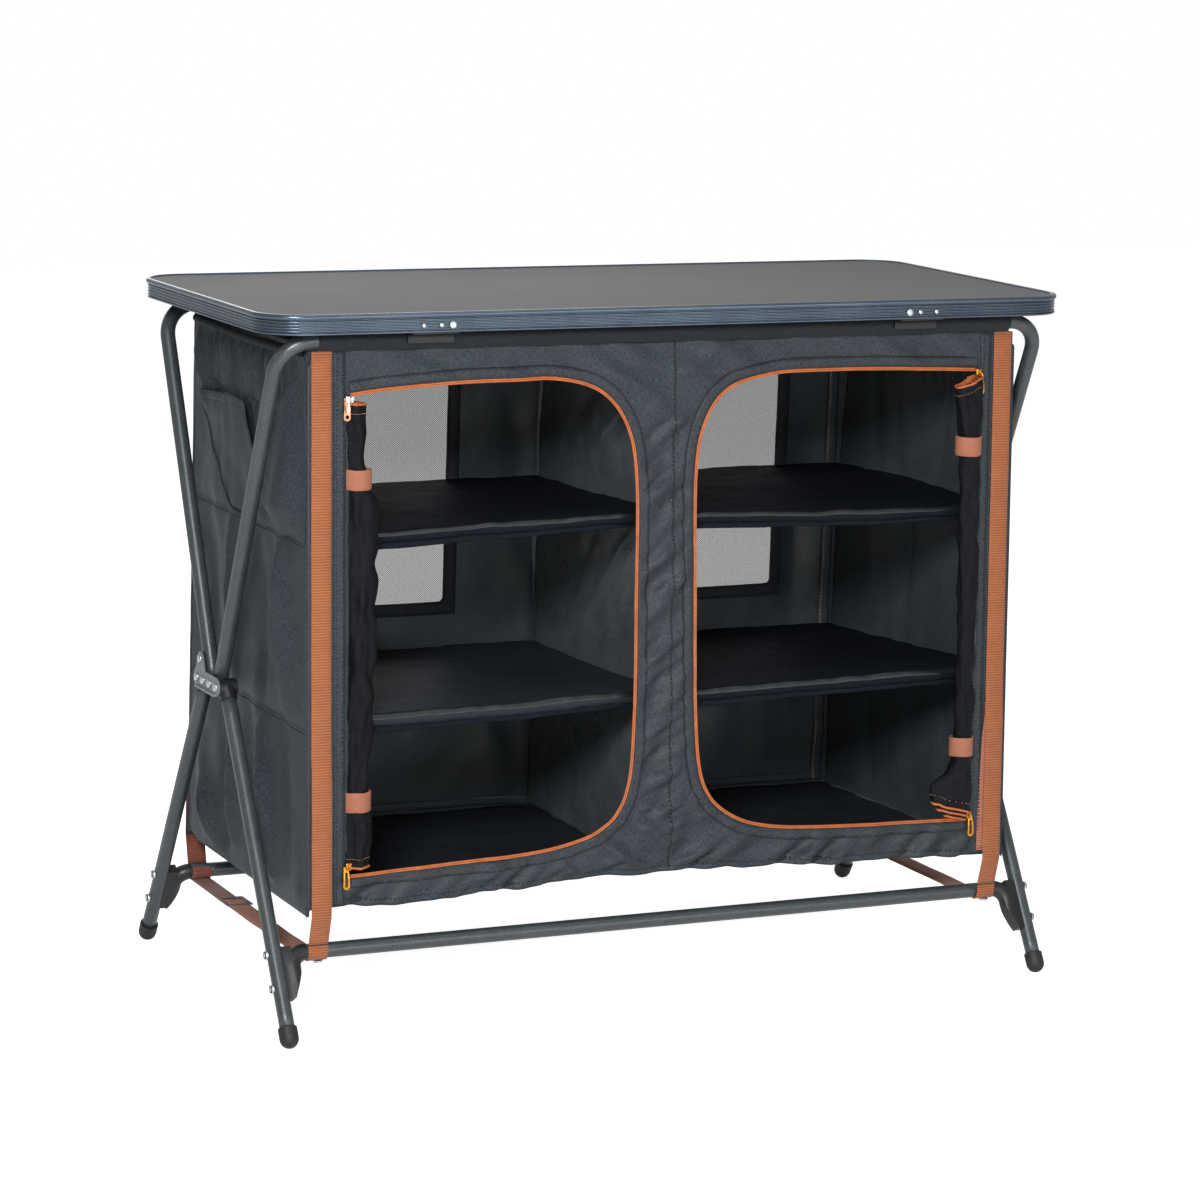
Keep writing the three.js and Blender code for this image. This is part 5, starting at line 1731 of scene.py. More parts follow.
@dataclass
class RearWall(Wall):
    """Rear panel in two layers, with its netting windows and their bindings."""

    cell: float = 0.007
    window: tuple[float, float, float, float] = (0.124, 0.367, 0.444, 0.740)
    window_corner: float = 0.006
    binding: float = 0.017
    drawn_forward: float = 0.008
    corner_tape: float = 0.029
    window_lap: float = 0.006
    notch: tuple[float, float, float] = (0.2967, 0.367, 0.8289)

    def window_line(self, side: Side) -> Outline:
        """The rounded edge of a window."""
        near, far, low, high = self.window
        radius = self.window_corner
        points = []
        for quarter in range(4):
            sx, sz = ((1, 1), (-1, 1), (-1, -1), (1, -1))[quarter]
            cx = (near + far) / 2 + sx * ((far - near) / 2 - radius)
            cz = (low + high) / 2 + sz * ((high - low) / 2 - radius)
            for k in range(7):
                turn = math.pi / 2 * (quarter + k / 6)
                points.append((side.value * (cx + radius * math.cos(turn)), cz + radius * math.sin(turn)))
        return Outline([*points, points[0]], steps=1)

    def cut_panel(self) -> Mesh:
        """A flat panel with its windows and the notches for the clips cut out."""
        half = PLACE.cabinet_half - PLACE.rear_draw
        bm = flat_cloth(-half, half, PLACE.cabinet_bottom, PLACE.cabinet_top, self.cell)
        for side in Side:
            cut_away(bm, self.window_line(side))
            near, far, low = self.notch
            near, far, high = side.value * near, side.value * far, PLACE.cabinet_top + 0.01
            corners = [(near, low), (far, low), (far, high), (near, high), (near, low)]
            cut_away(bm, Outline(corners, steps=1))
        for vert in bm.verts:
            vert.co.y = min(vert.co.y, PLACE.cabinet_top)
        lay_threads(bm)
        return bm

    def build_layer(self, name: str, place: Hang, finish: Finish, slot: Slot, thick: float,
                    under: str, solids: Sequence[str] = ()) -> None:
        """Builds one full layer of the panel.

        Args:
            name: the piece's name.
            place: gives the place of a flat point.
            finish: its finish.
            slot: the record's finish slot.
            thick: its thickness.
            under: what it rests on; not used.
            solids: the solid that it stands for, on the outer layer.
        """
        openings = 2 * abs(shoelace(self.window_line(Side.RIGHT).points)) + 0.002
        bm = self.cut_panel()
        hang(bm, place, turned=bool(solids))
        piece = finish_piece(name, bm, finish, Body.REAR_WALL, slot, solids, thick=thick)

    def build(self) -> None:
        """Builds both layers, the windows, the bindings and the seams of the lining."""
        self.build_layer("rear_panel_cloth", self.lie(0.0), CABINET_CLOTH, Slot.CLOTH, 0.0009,
                         "rear_sleeve_cloth", ["rear_panel"])
        self.build_layer("rear_panel_lining", lambda x, z: self.place(x, z, -0.0016 - self.pulled(x, z)),
                         LINING, Slot.LINING, 0.0006, "rear_panel_cloth")
        threads = bmesh.new()
        for side in Side:
            self.build_window(side, threads)
        finish_piece("window_seams", threads, DARK_THREAD, Body.REAR_WALL, Slot.CLOTH)
        self.build_tapes()

    def pulled(self, x: float, z: float) -> float:
        """How far the lining is drawn forward by the divider."""
        low = 0.4 + 0.6 * ease((0.78 - z) / 0.2)
        return self.drawn_forward * low * math.exp(-abs(x) / 0.035)

    def build_tapes(self) -> None:
        """Builds the tapes in both rear corners and along the lining's foot, with their stitches."""
        tan, dark = bmesh.new(), bmesh.new()
        half = PLACE.cabinet_half - PLACE.rear_draw
        low, high = PLACE.cabinet_bottom, PLACE.cabinet_top
        for side in Side:
            x = side.value * (half - self.corner_tape)
            line = [(x + side.value * 0.002 * ripple(0, k, 9, 2), mix(low + 0.008, high - 0.008, k / 110))
                    for k in range(111)]
            sewn_strip(f"corner_tape_{side.word}", ribbon(line, -0.008, 0.008, 0.006),
                       lambda x, z: self.place(x, z, -0.0044 - 0.0022 * math.sin(z * 37) ** 2),
                       LINING, Body.REAR_WALL, Slot.LINING, 0.0009)
            self.seam(tan, [(px - side.value * 0.0055, pz) for px, pz in line], -0.0078)
        foot = [(mix(-half + 0.004, half - 0.004, k / 150), low + 0.0145 + 0.0015 * ripple(k, 0, 14, 4))
                for k in range(151)]
        sewn_strip("lining_foot_tape", ribbon(foot, -0.0062, 0.0062, 0.006),
                   lambda x, z: self.place(x, z, -0.0040 - self.pulled(x, z)),
                   LINING, Body.REAR_WALL, Slot.LINING, 0.0009)
        for away in (-0.0045, 0.0045):
            self.seam(dark, [(x, z + away) for x, z in foot], -0.0050)
        finish_piece("corner_tape_stitches", tan, PALE_THREAD, Body.REAR_WALL, Slot.LINING)
        finish_piece("foot_tape_stitches", dark, DARK_THREAD, Body.REAR_WALL, Slot.LINING)

    def build_window(self, side: Side, threads: Mesh) -> None:
        """Builds a window's netting and the binding on both faces."""
        near, far, low, high = self.window
        lap = self.window_lap
        x0, x1 = sorted((side.value * (near - lap), side.value * (far + lap)))
        bm = flat_cloth(x0, x1, low - lap, high + lap, 0.01)
        lay_threads(bm)
        hang(bm, lambda x, z: self.place(x, z, -0.001 + 0.0015 * ripple(x, z, 0.09, 2.0)), turned=True)
        net = finish_piece(f"window_netting_{side.word}", bm, NETTING, Body.REAR_WALL, Slot.NET,
                           [f"mesh_window_{side.word}"])
        edge = self.window_line(side)
        turn = -side.value
        around = (near - self.binding, far + self.binding, low - self.binding, high + self.binding)
        for face, proud in (("outer", 0.0007), ("inner", -0.0030)):
            x0, x1 = sorted((side.value * around[0], side.value * around[1]))
            strip = flat_cloth(x0, x1, around[2], around[3], 0.005)
            cut_away(strip, edge)
            lay_threads(strip)
            hang(strip, self.lie(proud), turned=face == "outer")
            finish_piece(f"window_binding_{face}_{side.word}", strip, WINDOW_TAPE, Body.REAR_WALL,
                         Slot.CLOTH, thick=0.0008, offset=0.0)
        for away in (0.002, self.binding - 0.003):
            self.seam(threads, edge.beside(turn * away), 0.0012)
            self.seam(threads, edge.beside(turn * away), -0.0032)


# Cabinet between the walls


def fold_flat(piece: Piece) -> Piece:
    """Gives a piece of the cabinet its own copy of its mesh."""
    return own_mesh(piece)


@dataclass
class SidePanel:
    """A side of the cabinet: outer cloth, lining, top roll and, on the left, the hanging pocket."""

    side: Side
    folds: tuple[Fold, ...]
    seams: tuple[float, float] = (0.609, 0.380)
    cell: float = 0.0065
    gather_depth: float = 0.0095
    roll_height: float = 0.8375
    roll_radius: float = 0.0052

    def reach(self, z: float) -> float:
        """How far the panel reaches to the front and rear at a height."""
        return PLACE.wall_out(z) - 0.0026

    def relief(self, y: float, z: float) -> float:
        """How far the cloth stands outward at a place."""
        lively = 1.0 if self.side is Side.LEFT else 0.4
        lift = 0.0052 * lively * ripple(y + z * 0.25, z * 0.45, 0.07, self.side.value + 2.5)
        lift += 0.0026 * lively * ripple(y + z * 0.3, z * 0.6, 0.025, self.side.value + 5.5)
        lift += lively * sum(fold.at(y, z) * (3.0 if fold.depth > 0 else 1.6) for fold in self.folds)
        for height in self.seams:
            lift -= 0.0022 * math.exp(-((z - height) / 0.006) ** 2)
        below = clamp((0.835 - z) / 0.085)
        gather = math.sin(2 * math.pi * (y / 0.023 + 0.9 * ripple(y, z * 0.3, 0.05, 1.0)))
        gather *= (1 - below) * clamp(below * 8) * ease((0.17 - abs(y - 0.01)) / 0.06)
        lift += self.gather_depth * gather
        edge = min(self.reach(z) - abs(y), z - PLACE.cabinet_bottom, PLACE.cabinet_top - z)
        return lift * ease(edge / 0.03)

    def place(self, y: float, z: float, proud: float = 0.0) -> Vector:
        """The place of a flat point, y from the middle and z its height."""
        y = clamp(y, -self.reach(z), self.reach(z))
        if proud < -0.002:
            proud -= PLACE.lining_in(y, z)
        out = PLACE.cabinet_half - PLACE.drawn_in(y) + self.relief(y, z) + proud - 0.0012
        return Vector((self.side.value * out, y, z))

    def seam(self, bm: Mesh, line: Line, proud: float = 0.0003, pitch: float = 0.0042) -> None:
        """Sews a row of stitches along a line of (y, z) points."""
        sew(bm, line, lambda y, z: self.place(y, z, proud), ACROSS * self.side.value, pitch,
            pitch * 0.66, 0.0014)

    def rope(self, bm: Mesh, line: Line, proud: Height, radius: float) -> None:
        """Adds a thin dark edge along a line of (y, z) points."""
        cord(bm, [self.place(y, z, proud(y, z)) for (y, z), _ in walk(line, 0.004)], radius, 6)

    def cloth(self, name: str, finish: Finish, proud: float, thickness: float) -> Piece:
        """Builds one full layer of the panel."""
        low, high = PLACE.cabinet_bottom + 0.0005, PLACE.cabinet_top - 0.002
        widest = self.reach(low)
        bm = flat_cloth(-widest, widest, low, high, self.cell)
        for vert in bm.verts:
            vert.co.x *= self.reach(vert.co.y) / widest
        corner = 0.018
        edge = Outline([(-0.5, low), (0.165, low), (0.195, low + 0.002), (0.218, low + 0.006),
                        (widest, low + corner), (widest, 1.0), (-0.5, 1.0), (-0.5, low)], steps=1)
        if self.side is Side.LEFT and finish is CABINET_CLOTH:
            cut_away(bm, edge, inside=False)
        lay_threads(bm)
        hang(bm, lambda y, z: self.place(y, z, proud), turned=self.side is Side.LEFT)
        slot = Slot.CLOTH if finish is CABINET_CLOTH else Slot.LINING
        piece = finish_piece(name, bm, finish, Body.CABINET, slot, thick=thickness)
        return piece

    def build(self) -> None:
        """Builds the layers, seams and top roll."""
        word = self.side.word
        outer = self.cloth(f"side_panel_cloth_{word}", CABINET_CLOTH, 0.0, 0.001)
        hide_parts(f"side_panel_{word}")
        fold_flat(outer)
        fold_flat(self.cloth(f"side_panel_lining_{word}", LINING, -0.0022, 0.0006))
        threads = bmesh.new()
        for height in self.seams:
            line = [(y * self.reach(height) / 0.205, height) for y in spaced(-0.2, 0.2, 40)]
            self.seam(threads, line)
            self.seam(threads, [(y, z - 0.005) for y, z in line])
            self.rope(threads, line, lambda y, z: -0.0002, 0.0008)
        fold_flat(finish_piece(f"side_seams_{word}", threads, DARK_THREAD, Body.CABINET, Slot.CLOTH))
        self.build_roll()
        if self.side is Side.LEFT:
            self.build_pocket()

    def build_roll(self) -> None:
        """Builds the padded roll along the panel's top edge."""
        bm = bmesh.new()
        route = []
        for k in range(91):
            y = mix(-0.196, 0.212, k / 90)
            sag = 0.004 * math.sin(math.pi * k / 90)
            size = 1 + 0.08 * ripple(y, 0.0, 0.018, 6.0) + 0.05 * ripple(y, 0.0, 0.007, 7.0)
            across = PLACE.cabinet_half - PLACE.drawn_in(y) - 0.0005
            route.append(Station(Vector((self.side.value * across, y, self.roll_height - sag)),
                                 ACROSS, UP, size * (0.7 if k in (0, 90) else 1.0)))
        sweep(bm, circle(self.roll_radius, 14), route)
        name = f"side_top_roll_{self.side.word}"
        fold_flat(finish_piece(name, bm, SLEEVE_CLOTH, Body.CABINET, Slot.CLOTH))

    def patch(self, name: str, finish: Finish, corners: Line, lift: Height,
              thickness: float, cell: float = 0.005) -> Piece:
        """Builds a shaped layer on the outside of the panel.

        Args:
            name: the piece's name.
            finish: its finish.
            corners: its outline as (y, z) points.
            lift: how proud of the panel it stands at a place.
            thickness: its thickness.
            cell: size of its cells.

        Returns:
            The piece.
        """
        ys, zs = [p[0] for p in corners], [p[1] for p in corners]
        bm = flat_cloth(min(ys), max(ys), min(zs), max(zs), cell)
        cut_away(bm, Outline([*corners, corners[0]], steps=1), inside=False)
        lay_threads(bm)
        hang(bm, lambda y, z: self.place(y, z, lift(y, z)), turned=self.side is Side.LEFT)
        return fold_flat(finish_piece(name, bm, finish, Body.CABINET, Slot.CLOTH, thick=thickness))

    def bulge(self, y: float, z: float) -> float:
        """How far the pocket stands out from the panel."""
        full = 0.011 * ease((z - 0.62) / 0.12) * math.sin(math.pi * clamp((y + 0.1) / 0.27))
        return 0.0016 + full + 0.0015 * ripple(y, z, 0.04, 3.3)

    def front_fold(self, y: float, z: float) -> float:
        """How far the loose fold beside the front edge stands out from the panel."""
        return 0.001 + 0.019 * ease((y + 0.2135) / 0.05) * ease((z - 0.6) / 0.05) * ease((0.84 - z) / 0.06)

    def build_pocket(self) -> None:
        """Builds the pocket that hangs from the panel, the front fold, and flat black patches of painted
        shade at the pocket's mouth and in the gaps beside it.
        """
        # Painted shade: flat near-black patches where the pocket's mouth and the gaps beside it lie in
        # shadow.
        self.patch("pocket_mouth", SHADE_PATCH_CLOTH, POCKET_SHADE, lambda y, z: 0.0006, 0.0005)
        for word, wedge in POCKET_GAP_SHADES.items():
            self.patch(f"pocket_gap_{word}", SHADE_PATCH_CLOTH, wedge, lambda y, z: 0.0012, 0.0005)
        self.patch("side_pocket", CABINET_CLOTH, POCKET, self.bulge, 0.0012)
        edges = bmesh.new()
        for line in POCKET_EDGES:
            self.rope(edges, Outline(line, steps=8).points, lambda y, z: self.bulge(y, z) + 0.0002, 0.0014)
        fold_flat(finish_piece("pocket_edges", edges, DARK_THREAD, Body.CABINET, Slot.CLOTH))
        self.patch("side_front_fold", CABINET_CLOTH, FRONT_FLAP, self.front_fold, 0.0012)
        hem = ribbon(Outline(POCKET[:6], steps=6).points, -0.0005, 0.0105, 0.004)
        fold_flat(sewn_strip("pocket_hem", hem, lambda y, z: self.place(y, z, self.bulge(y, z) + 0.0008),
                             CABINET_CLOTH, Body.CABINET, Slot.CLOTH, 0.0011))


@dataclass(frozen=True)
class Pad:
    """Sizes of a padded board: its ends, front, back, upper face, thickness and fall to the rear."""

    x0: float
    x1: float
    front: float
    back: float
    top: float
    thick: float
    fall: float
    drawn: float = 1.6


def height_at(line: Line, x: float) -> float:
    """The height of a line of (x, z) points at a place."""
    if x <= line[0][0]:
        return line[0][1]
    for (x0, z0), (x1, z1) in zip(line, line[1:]):
        if x <= x1:
            return mix(z0, z1, ease((x - x0) / (x1 - x0)))
    return line[-1][1]


@dataclass
class Interior:
    """Centre divider, padded shelves, floor and roof."""

    divider_folds: tuple[Fold, ...]
    shelf_end: float = 0.472
    shelf_setback: float = 0.020
    shelf_thickness: tuple[float, float] = (0.015, 0.017)
    floor_half: float = 0.4775
    floor_thickness: float = 0.0068
    floor_fall: float = 0.003
    floor_drawn: float = 3.4
    floor_over_hem: float = 0.0095
    roof_half: float = 0.474
    roof_reach: float = 0.2048
    roof_height: float = 0.8478

    def build(self) -> None:
        """Builds the divider, the roof, the four shelves and the floor."""
        self.build_divider()
        self.build_roof()
        for side in Side:
            x0, x1 = sorted((side.value * 0.0018, side.value * self.shelf_end))
            for word, top, thick in zip(("upper", "lower"), (PLACE.upper_shelf, PLACE.lower_shelf),
                                        self.shelf_thickness):
                front = -(PLACE.wall_out(top) - 0.002 - self.shelf_setback)
                back = PLACE.wall_out(top) - 0.0045
                node = f"{word}_shelf_{side.word}"
                pad = Pad(x0, x1, front, back, top, thick, PLACE.shelf_fall)
                self.build_pad(node, pad, SHELF_LINES[node])
                self.build_shelf_edge(node, pad, SHELF_LINES[node])
        reach = PLACE.wall_out(PLACE.cabinet_bottom) - 0.0045
        pad = Pad(-self.floor_half, self.floor_half, -reach, reach, PLACE.floor_top, self.floor_thickness,
                  self.floor_fall, self.floor_drawn)
        self.build_pad("cabinet_floor", pad, [(x, z + self.floor_over_hem) for x, z in FRONT_HEM])

    def board(self, section: Line, pad: Pad, line: Line, cell: float) -> Mesh:
        """A section drawn from end to end of a board and settled in its place."""
        bm = bmesh.new()
        steps = round((pad.x1 - pad.x0) / cell)
        route = [Station(Vector((x, 0, pad.top)), BACK, UP) for x in spaced(pad.x0, pad.x1, steps)]
        sweep(bm, section, route)
        for vert in bm.verts:
            vert.co = self.settle(vert.co, pad, line)
        return bm

    def build_pad(self, node: str, pad: Pad, line: Line) -> None:
        """Builds a padded board with soft rounded edges and a puckered front.

        Args:
            node: the solid that it stands for.
            pad: its sizes.
            line: (x, z) of its upper front edge, where that is measured.
        """
        half = pad.thick / 2
        section = [(pad.front + half - half * math.sin(a), -half + half * math.cos(a))
                   for a in [math.pi * k / 12 for k in range(13)]]
        section += [(y, -pad.thick) for y in spaced(pad.front + half, pad.back, 40)[1:]]
        section += [(y, 0.0) for y in spaced(pad.back, pad.front + half, 40)[:-1]]
        # The lower-left shelf and the floor take the lighter copy of the satin, which is painted light.
        finish = LIT_SHELF_CLOTH if node in ("lower_shelf_left", "cabinet_floor") else SHELF_CLOTH
        piece = finish_piece(f"{node}_pad", self.board(section, pad, line, 0.005), finish, Body.CABINET,
                             Slot.LINING, [node])
        fold_flat(piece)
        if pad.thick > 0.01:
            self.build_nose(node, pad, line)

    def settle(self, spot: Vector, pad: Pad, line: Line) -> Vector:
        """Where a point of an even board comes to lie: puckered in front and held by the walls."""
        x, y, z = spot
        seed = pad.top * 10 + pad.x0
        near = math.exp(-((y - pad.front) / 0.020) ** 2)
        tuck = 0.6 * ripple(x + y * 0.6, y * 0.25, 0.019, seed) + ripple(x, y, 0.050, seed + 2)
        back = (y - pad.front) / (pad.back - pad.front)
        upper = z > pad.top - pad.thick / 2
        swell = 0.0022 * ripple(x, y * 1.6, 0.07, seed + 4) + 0.0010 * ripple(x, y * 2.0, 0.026, seed + 6)
        height = z + (0.0010 if upper else -0.0010) * tuck * near - pad.fall * back
        if upper:
            height += swell * ease((z - pad.top + pad.thick) / pad.thick)
        if line:
            height += (height_at(line, x) - pad.top) * (1 - ease(back * pad.drawn))
        reach = PLACE.cabinet_half - 0.009 - PLACE.drawn_in(y) - PLACE.lining_in(y, z)
        beside = 0.008 * ease((y + 0.05) / 0.27) * (1 - ease(abs(x) / 0.07))
        return Vector((clamp(x + beside, -reach, reach), y - 0.0012 * tuck * near, height))

    def build_nose(self, node: str, pad: Pad, line: Line) -> None:
        """Builds the satin binding over a board's front edge."""
        half = pad.thick / 2
        turns = [math.radians(angle) for angle in spaced(28, 80, 9)]
        section = [(pad.front + half - r * math.sin(a), r * math.cos(a) - half)
                   for r, order in ((half + 0.0007, turns), (half + 0.0001, turns[::-1])) for a in order]
        fold_flat(finish_piece(f"{node}_nose", self.board(section, pad, line, 0.004), SHELF_TAPE,
                               Body.CABINET, Slot.LINING))

    def build_shelf_edge(self, node: str, pad: Pad, line: Line) -> None:
        """Builds the loose lower cloth that hangs under a shelf's front edge.

        Args:
            node: the shelf's solid.
            pad: the shelf's sizes.
            line: (x, z) of its upper front edge.
        """
        bm = bmesh.new()
        steps = round((pad.x1 - pad.x0) / 0.006)
        route = []
        for x in spaced(pad.x0, pad.x1, steps):
            outward = abs(x) / self.shelf_end
            drop = mix(0.0015, 0.0075, outward) if x < 0 else mix(0.0045, 0.003, outward)
            base = height_at(line, x) - pad.thick - drop
            base += 0.0009 * ripple(x, 0, 0.03, 2.0 + pad.thick * 100)
            place = Vector((x, pad.front + 0.008 + 0.0012 * ripple(x, 0, 0.05, 5.0), base))
            route.append(Station(place, BACK, UP))
        sweep(bm, SHELF_HEM_SECTION, route)
        fold_flat(finish_piece(f"{node}_hem", bm, SHELF_CLOTH, Body.CABINET, Slot.LINING))

    def divider_slack(self, y: float, z: float) -> float:
        """How far the divider swells to the left, between the shelves that hold it."""
        fall = PLACE.shelf_fall * (0.5 + y / 0.44)
        held = min(abs(z - height + 0.009 + fall) for height in (PLACE.upper_shelf, PLACE.lower_shelf))
        slack = 0.0050 * ripple(y * 0.8 + z * 0.6, z * 0.8 - y * 0.6, 0.08, 1.7)
        slack += 0.0020 * ripple(y, z, 0.03, 2.7)
        return (slack + 1.7 * sum(fold.at(y, z) for fold in self.divider_folds)) * clamp(held / 0.03 - 0.3)

    def divider_point(self, y: float, z: float) -> Vector:
        """The place of a flat point of the divider, its lower front corner drawn up with the hem."""
        across = 0.008 * ease((y + 0.05) / 0.27) - 0.0004
        raised = z + 0.019 * ease((0.20 - z) / 0.045) * ease((-y - 0.10) / 0.11)
        return Vector((across - self.divider_slack(y, z), y - 0.006 * ease((y - 0.1) / 0.12), raised))

    def build_divider(self) -> None:
        """Builds the wall between both columns, drawn into diagonal folds."""
        low, high = PLACE.floor_top + 0.0003, PLACE.cabinet_top
        widest = PLACE.wall_out(low) - 0.004
        bm = flat_cloth(-widest, widest, low, high, 0.0055)
        for vert in bm.verts:
            vert.co.x *= (PLACE.wall_out(vert.co.y) - 0.004) / widest
        lay_threads(bm)
        hang(bm, self.divider_point, turned=True)
        piece = finish_piece("centre_divider_cloth", bm, DIVIDER_CLOTH, Body.CABINET, Slot.LINING,
                             ["centre_divider"], thick=0.0008, offset=0.0)
        fold_flat(piece)

    def roof_point(self, x: float, y: float) -> Vector:
        """The place of a flat point of the roof, which sags between its sleeves."""
        hold = 1 - (abs(y) / self.roof_reach) ** 4
        sag = 0.004 * hold * (0.6 + 0.4 * ripple(x, y, 0.12, 4.4))
        return Vector((x, y, self.roof_height - sag))

    def build_roof(self) -> None:
        """Builds the roof cloth between the sleeves."""
        half, reach = self.roof_half, self.roof_reach
        bm = flat_cloth(-half, half, -reach, reach, 0.012)
        lay_threads(bm)
        hang(bm, self.roof_point)
        piece = finish_piece("cabinet_roof_cloth", bm, CABINET_CLOTH, Body.CABINET, Slot.CLOTH,
                             ["cabinet_roof"], thick=0.001)
        fold_flat(piece)


# Webbing


@dataclass
class Straps:
    """The straps down the walls, round the lower bars and under the cabinet."""

    thickness: float = 0.0015
    join_height: float = 0.349
    wrap: float = 0.0100
    snap_radius: float = 0.0062
    snap_height: float = 0.0034
    tail_end: float = 0.094
    tail_lift: float = 0.0017

    def web(self, name: str, points: Route, body: Body, finish: Finish,
            replaces: Sequence[str] = ()) -> Piece:
        """Builds a band of webbing whose width lies along X.

        Args:
            name: the piece's name.
            points: its route, all in one plane across the cupboard.
            body: what it rides on.
            finish: its finish.
            replaces: solids that it stands for.

        Returns:
            The piece.
        """
        route, last = [], len(points) - 1
        for i, point in enumerate(points):
            heading = (points[min(i + 1, last)] - points[max(i - 1, 0)]).normalized()
            route.append(Station(point, ACROSS, ACROSS.cross(heading).normalized()))
        bm = bmesh.new()
        sweep(bm, band(PLACE.web_width, self.thickness, 4), route)
        return finish_piece(name, bm, finish, body, Slot.WEBBING, replaces)

    def wall_line(self, row: Row, side: Side, low: float, high: float, proud: float,
                  lower_proud: float) -> list[Vector]:
        """Points down the outside of a wall and on towards its lower bar.

        Args:
            row: which wall.
            side: which side of it.
            low: height of the last point.
            high: height of the first point.
            proud: how far in front of the wall the webbing's middle runs.
            lower_proud: how far in front of the loop it ends.

        Returns:
            The points.
        """
        x = side.value * PLACE.strap_across
        points = []
        for z in spaced(high, PLACE.cabinet_bottom, 60):
            wavy = 0.0006 * ripple(x, z, 0.08, row.value + 0.5)
            wavy += 0.0017 * ease((self.join_height + 0.02 - z) / 0.04)
            inward = -0.006 * side.value * ease((z - 0.26) / 0.10) if row is Row.REAR else 0.0
            points.append(PLACE.on_wall(row, x + inward, z, proud + wavy))
        start = points[-1]
        end = Vector((x, row.value * (PLACE.lower_bar_out + self.wrap + lower_proud), low))
        points += [start.lerp(end, k / 8) for k in range(1, 9)]
        return points

    def build(self) -> None:
        """Builds every strap, its stitching, snap and adjuster."""
        for side in Side:
            for row in Row:
                self.build_wall_strap(row, side)
            self.build_bottom_strap(side)
            machined(f"strap_adjuster_{side.word}", ADJUSTER_METAL, Slot.METAL, 0.0004)

    def build_wall_strap(self, row: Row, side: Side) -> None:
        """Builds a strap on a wall, the loop round its bar and the strip that returns behind it."""
        finish = STRAP_WEBBING if row is Row.FRONT else REAR_WEBBING
        body, legs = row.wall, row.legs
        name = f"{row.word}_strap_web_{side.word}"
        top = PLACE.cabinet_top - 0.001
        lowest = PLACE.lower_bar_height + (0.0105 if row is Row.FRONT else 0.0070)
        line = self.wall_line(row, side, lowest, top, 0.0014, 0.0003)
        self.web(name, line, body, finish, [f"{row.word}_strap_{side.word}"])
        x = side.value * PLACE.strap_across
        returned = []
        for point in line:
            if PLACE.cabinet_bottom + 0.002 < point.z < self.join_height + 0.01:
                down = (self.join_height - point.z) / (self.join_height - PLACE.cabinet_bottom)
                aside = -0.0035 - 0.0055 * ease(down) if side is Side.RIGHT else 0.0014
                returned.append(point + Vector((aside * ease(down * 5), row.value * -0.0017, 0)))
        self.web(f"{row.word}_strap_return_{side.word}", returned, body, TIE_WEBBING)
        loop, radius = [], self.wrap + 0.0008
        for angle in spaced(0, -215, 18):
            turn = math.radians(angle)
            loop.append(Vector((x, row.value * (PLACE.lower_bar_out + radius * math.cos(turn)),
                                PLACE.lower_bar_height + radius * math.sin(turn))))
        loop.insert(0, loop[0] + Vector((0, 0, 0.0095)))
        self.web(f"{row.word}_bar_loop_{side.word}", loop, legs, finish)
        threads = bmesh.new()
        outward = Vector((0, row.value, 0))
        for height in (self.join_height, self.join_height + 0.006):
            seat = PLACE.on_wall(row, 0, height, 0.0025)
            places = [(Vector((x + offset, seat.y, seat.z)), ACROSS, outward)
                      for offset in spaced(-0.0105, 0.0105, 8)]
            stitch(threads, places, 0.0022, 0.0008)
        finish_piece(f"{row.word}_strap_tack_{side.word}", threads, PALE_THREAD, body, Slot.WEBBING)
        snap = bmesh.new()
        under = PLACE.lower_bar_height - self.wrap - 0.0016
        foot = Vector((x + 0.003, row.value * PLACE.lower_bar_out, under))
        dome(snap, foot, -UP, self.snap_radius, self.snap_height)
        finish_piece(f"{row.word}_snap_{side.word}", snap, BARE_METAL, legs, Slot.METAL)

    def build_bottom_strap(self, side: Side) -> None:
        """Builds the run between both lower bars."""
        x = side.value * PLACE.strap_across
        z = PLACE.lower_bar_height - PLACE.tube_radius - 0.001
        reach = PLACE.lower_bar_out - 0.004
        points = []
        for y in spaced(-reach, reach, 60):
            sag = 0.004 * (1 - (y / reach) ** 2)
            twist = 0.0012 * ripple(x, y, 0.06, 3.0)
            points.append(Vector((x, y, z - sag * 0.3 + twist)))
        piece = self.web(f"bottom_strap_web_{side.word}", points, Body.FRONT_LEGS, REAR_WEBBING,
                         [f"bottom_strap_{side.word}"])
        tail = [p + Vector((0, 0, self.tail_lift + 0.0022 * math.exp(-((p.y - 0.077) / 0.014) ** 2)))
                for p in points if p.y < self.tail_end]
        upper = self.web(f"bottom_strap_tail_{side.word}", tail, Body.FRONT_LEGS, STRAP_WEBBING)
        for part in (piece, upper):
            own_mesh(part)


# Studio


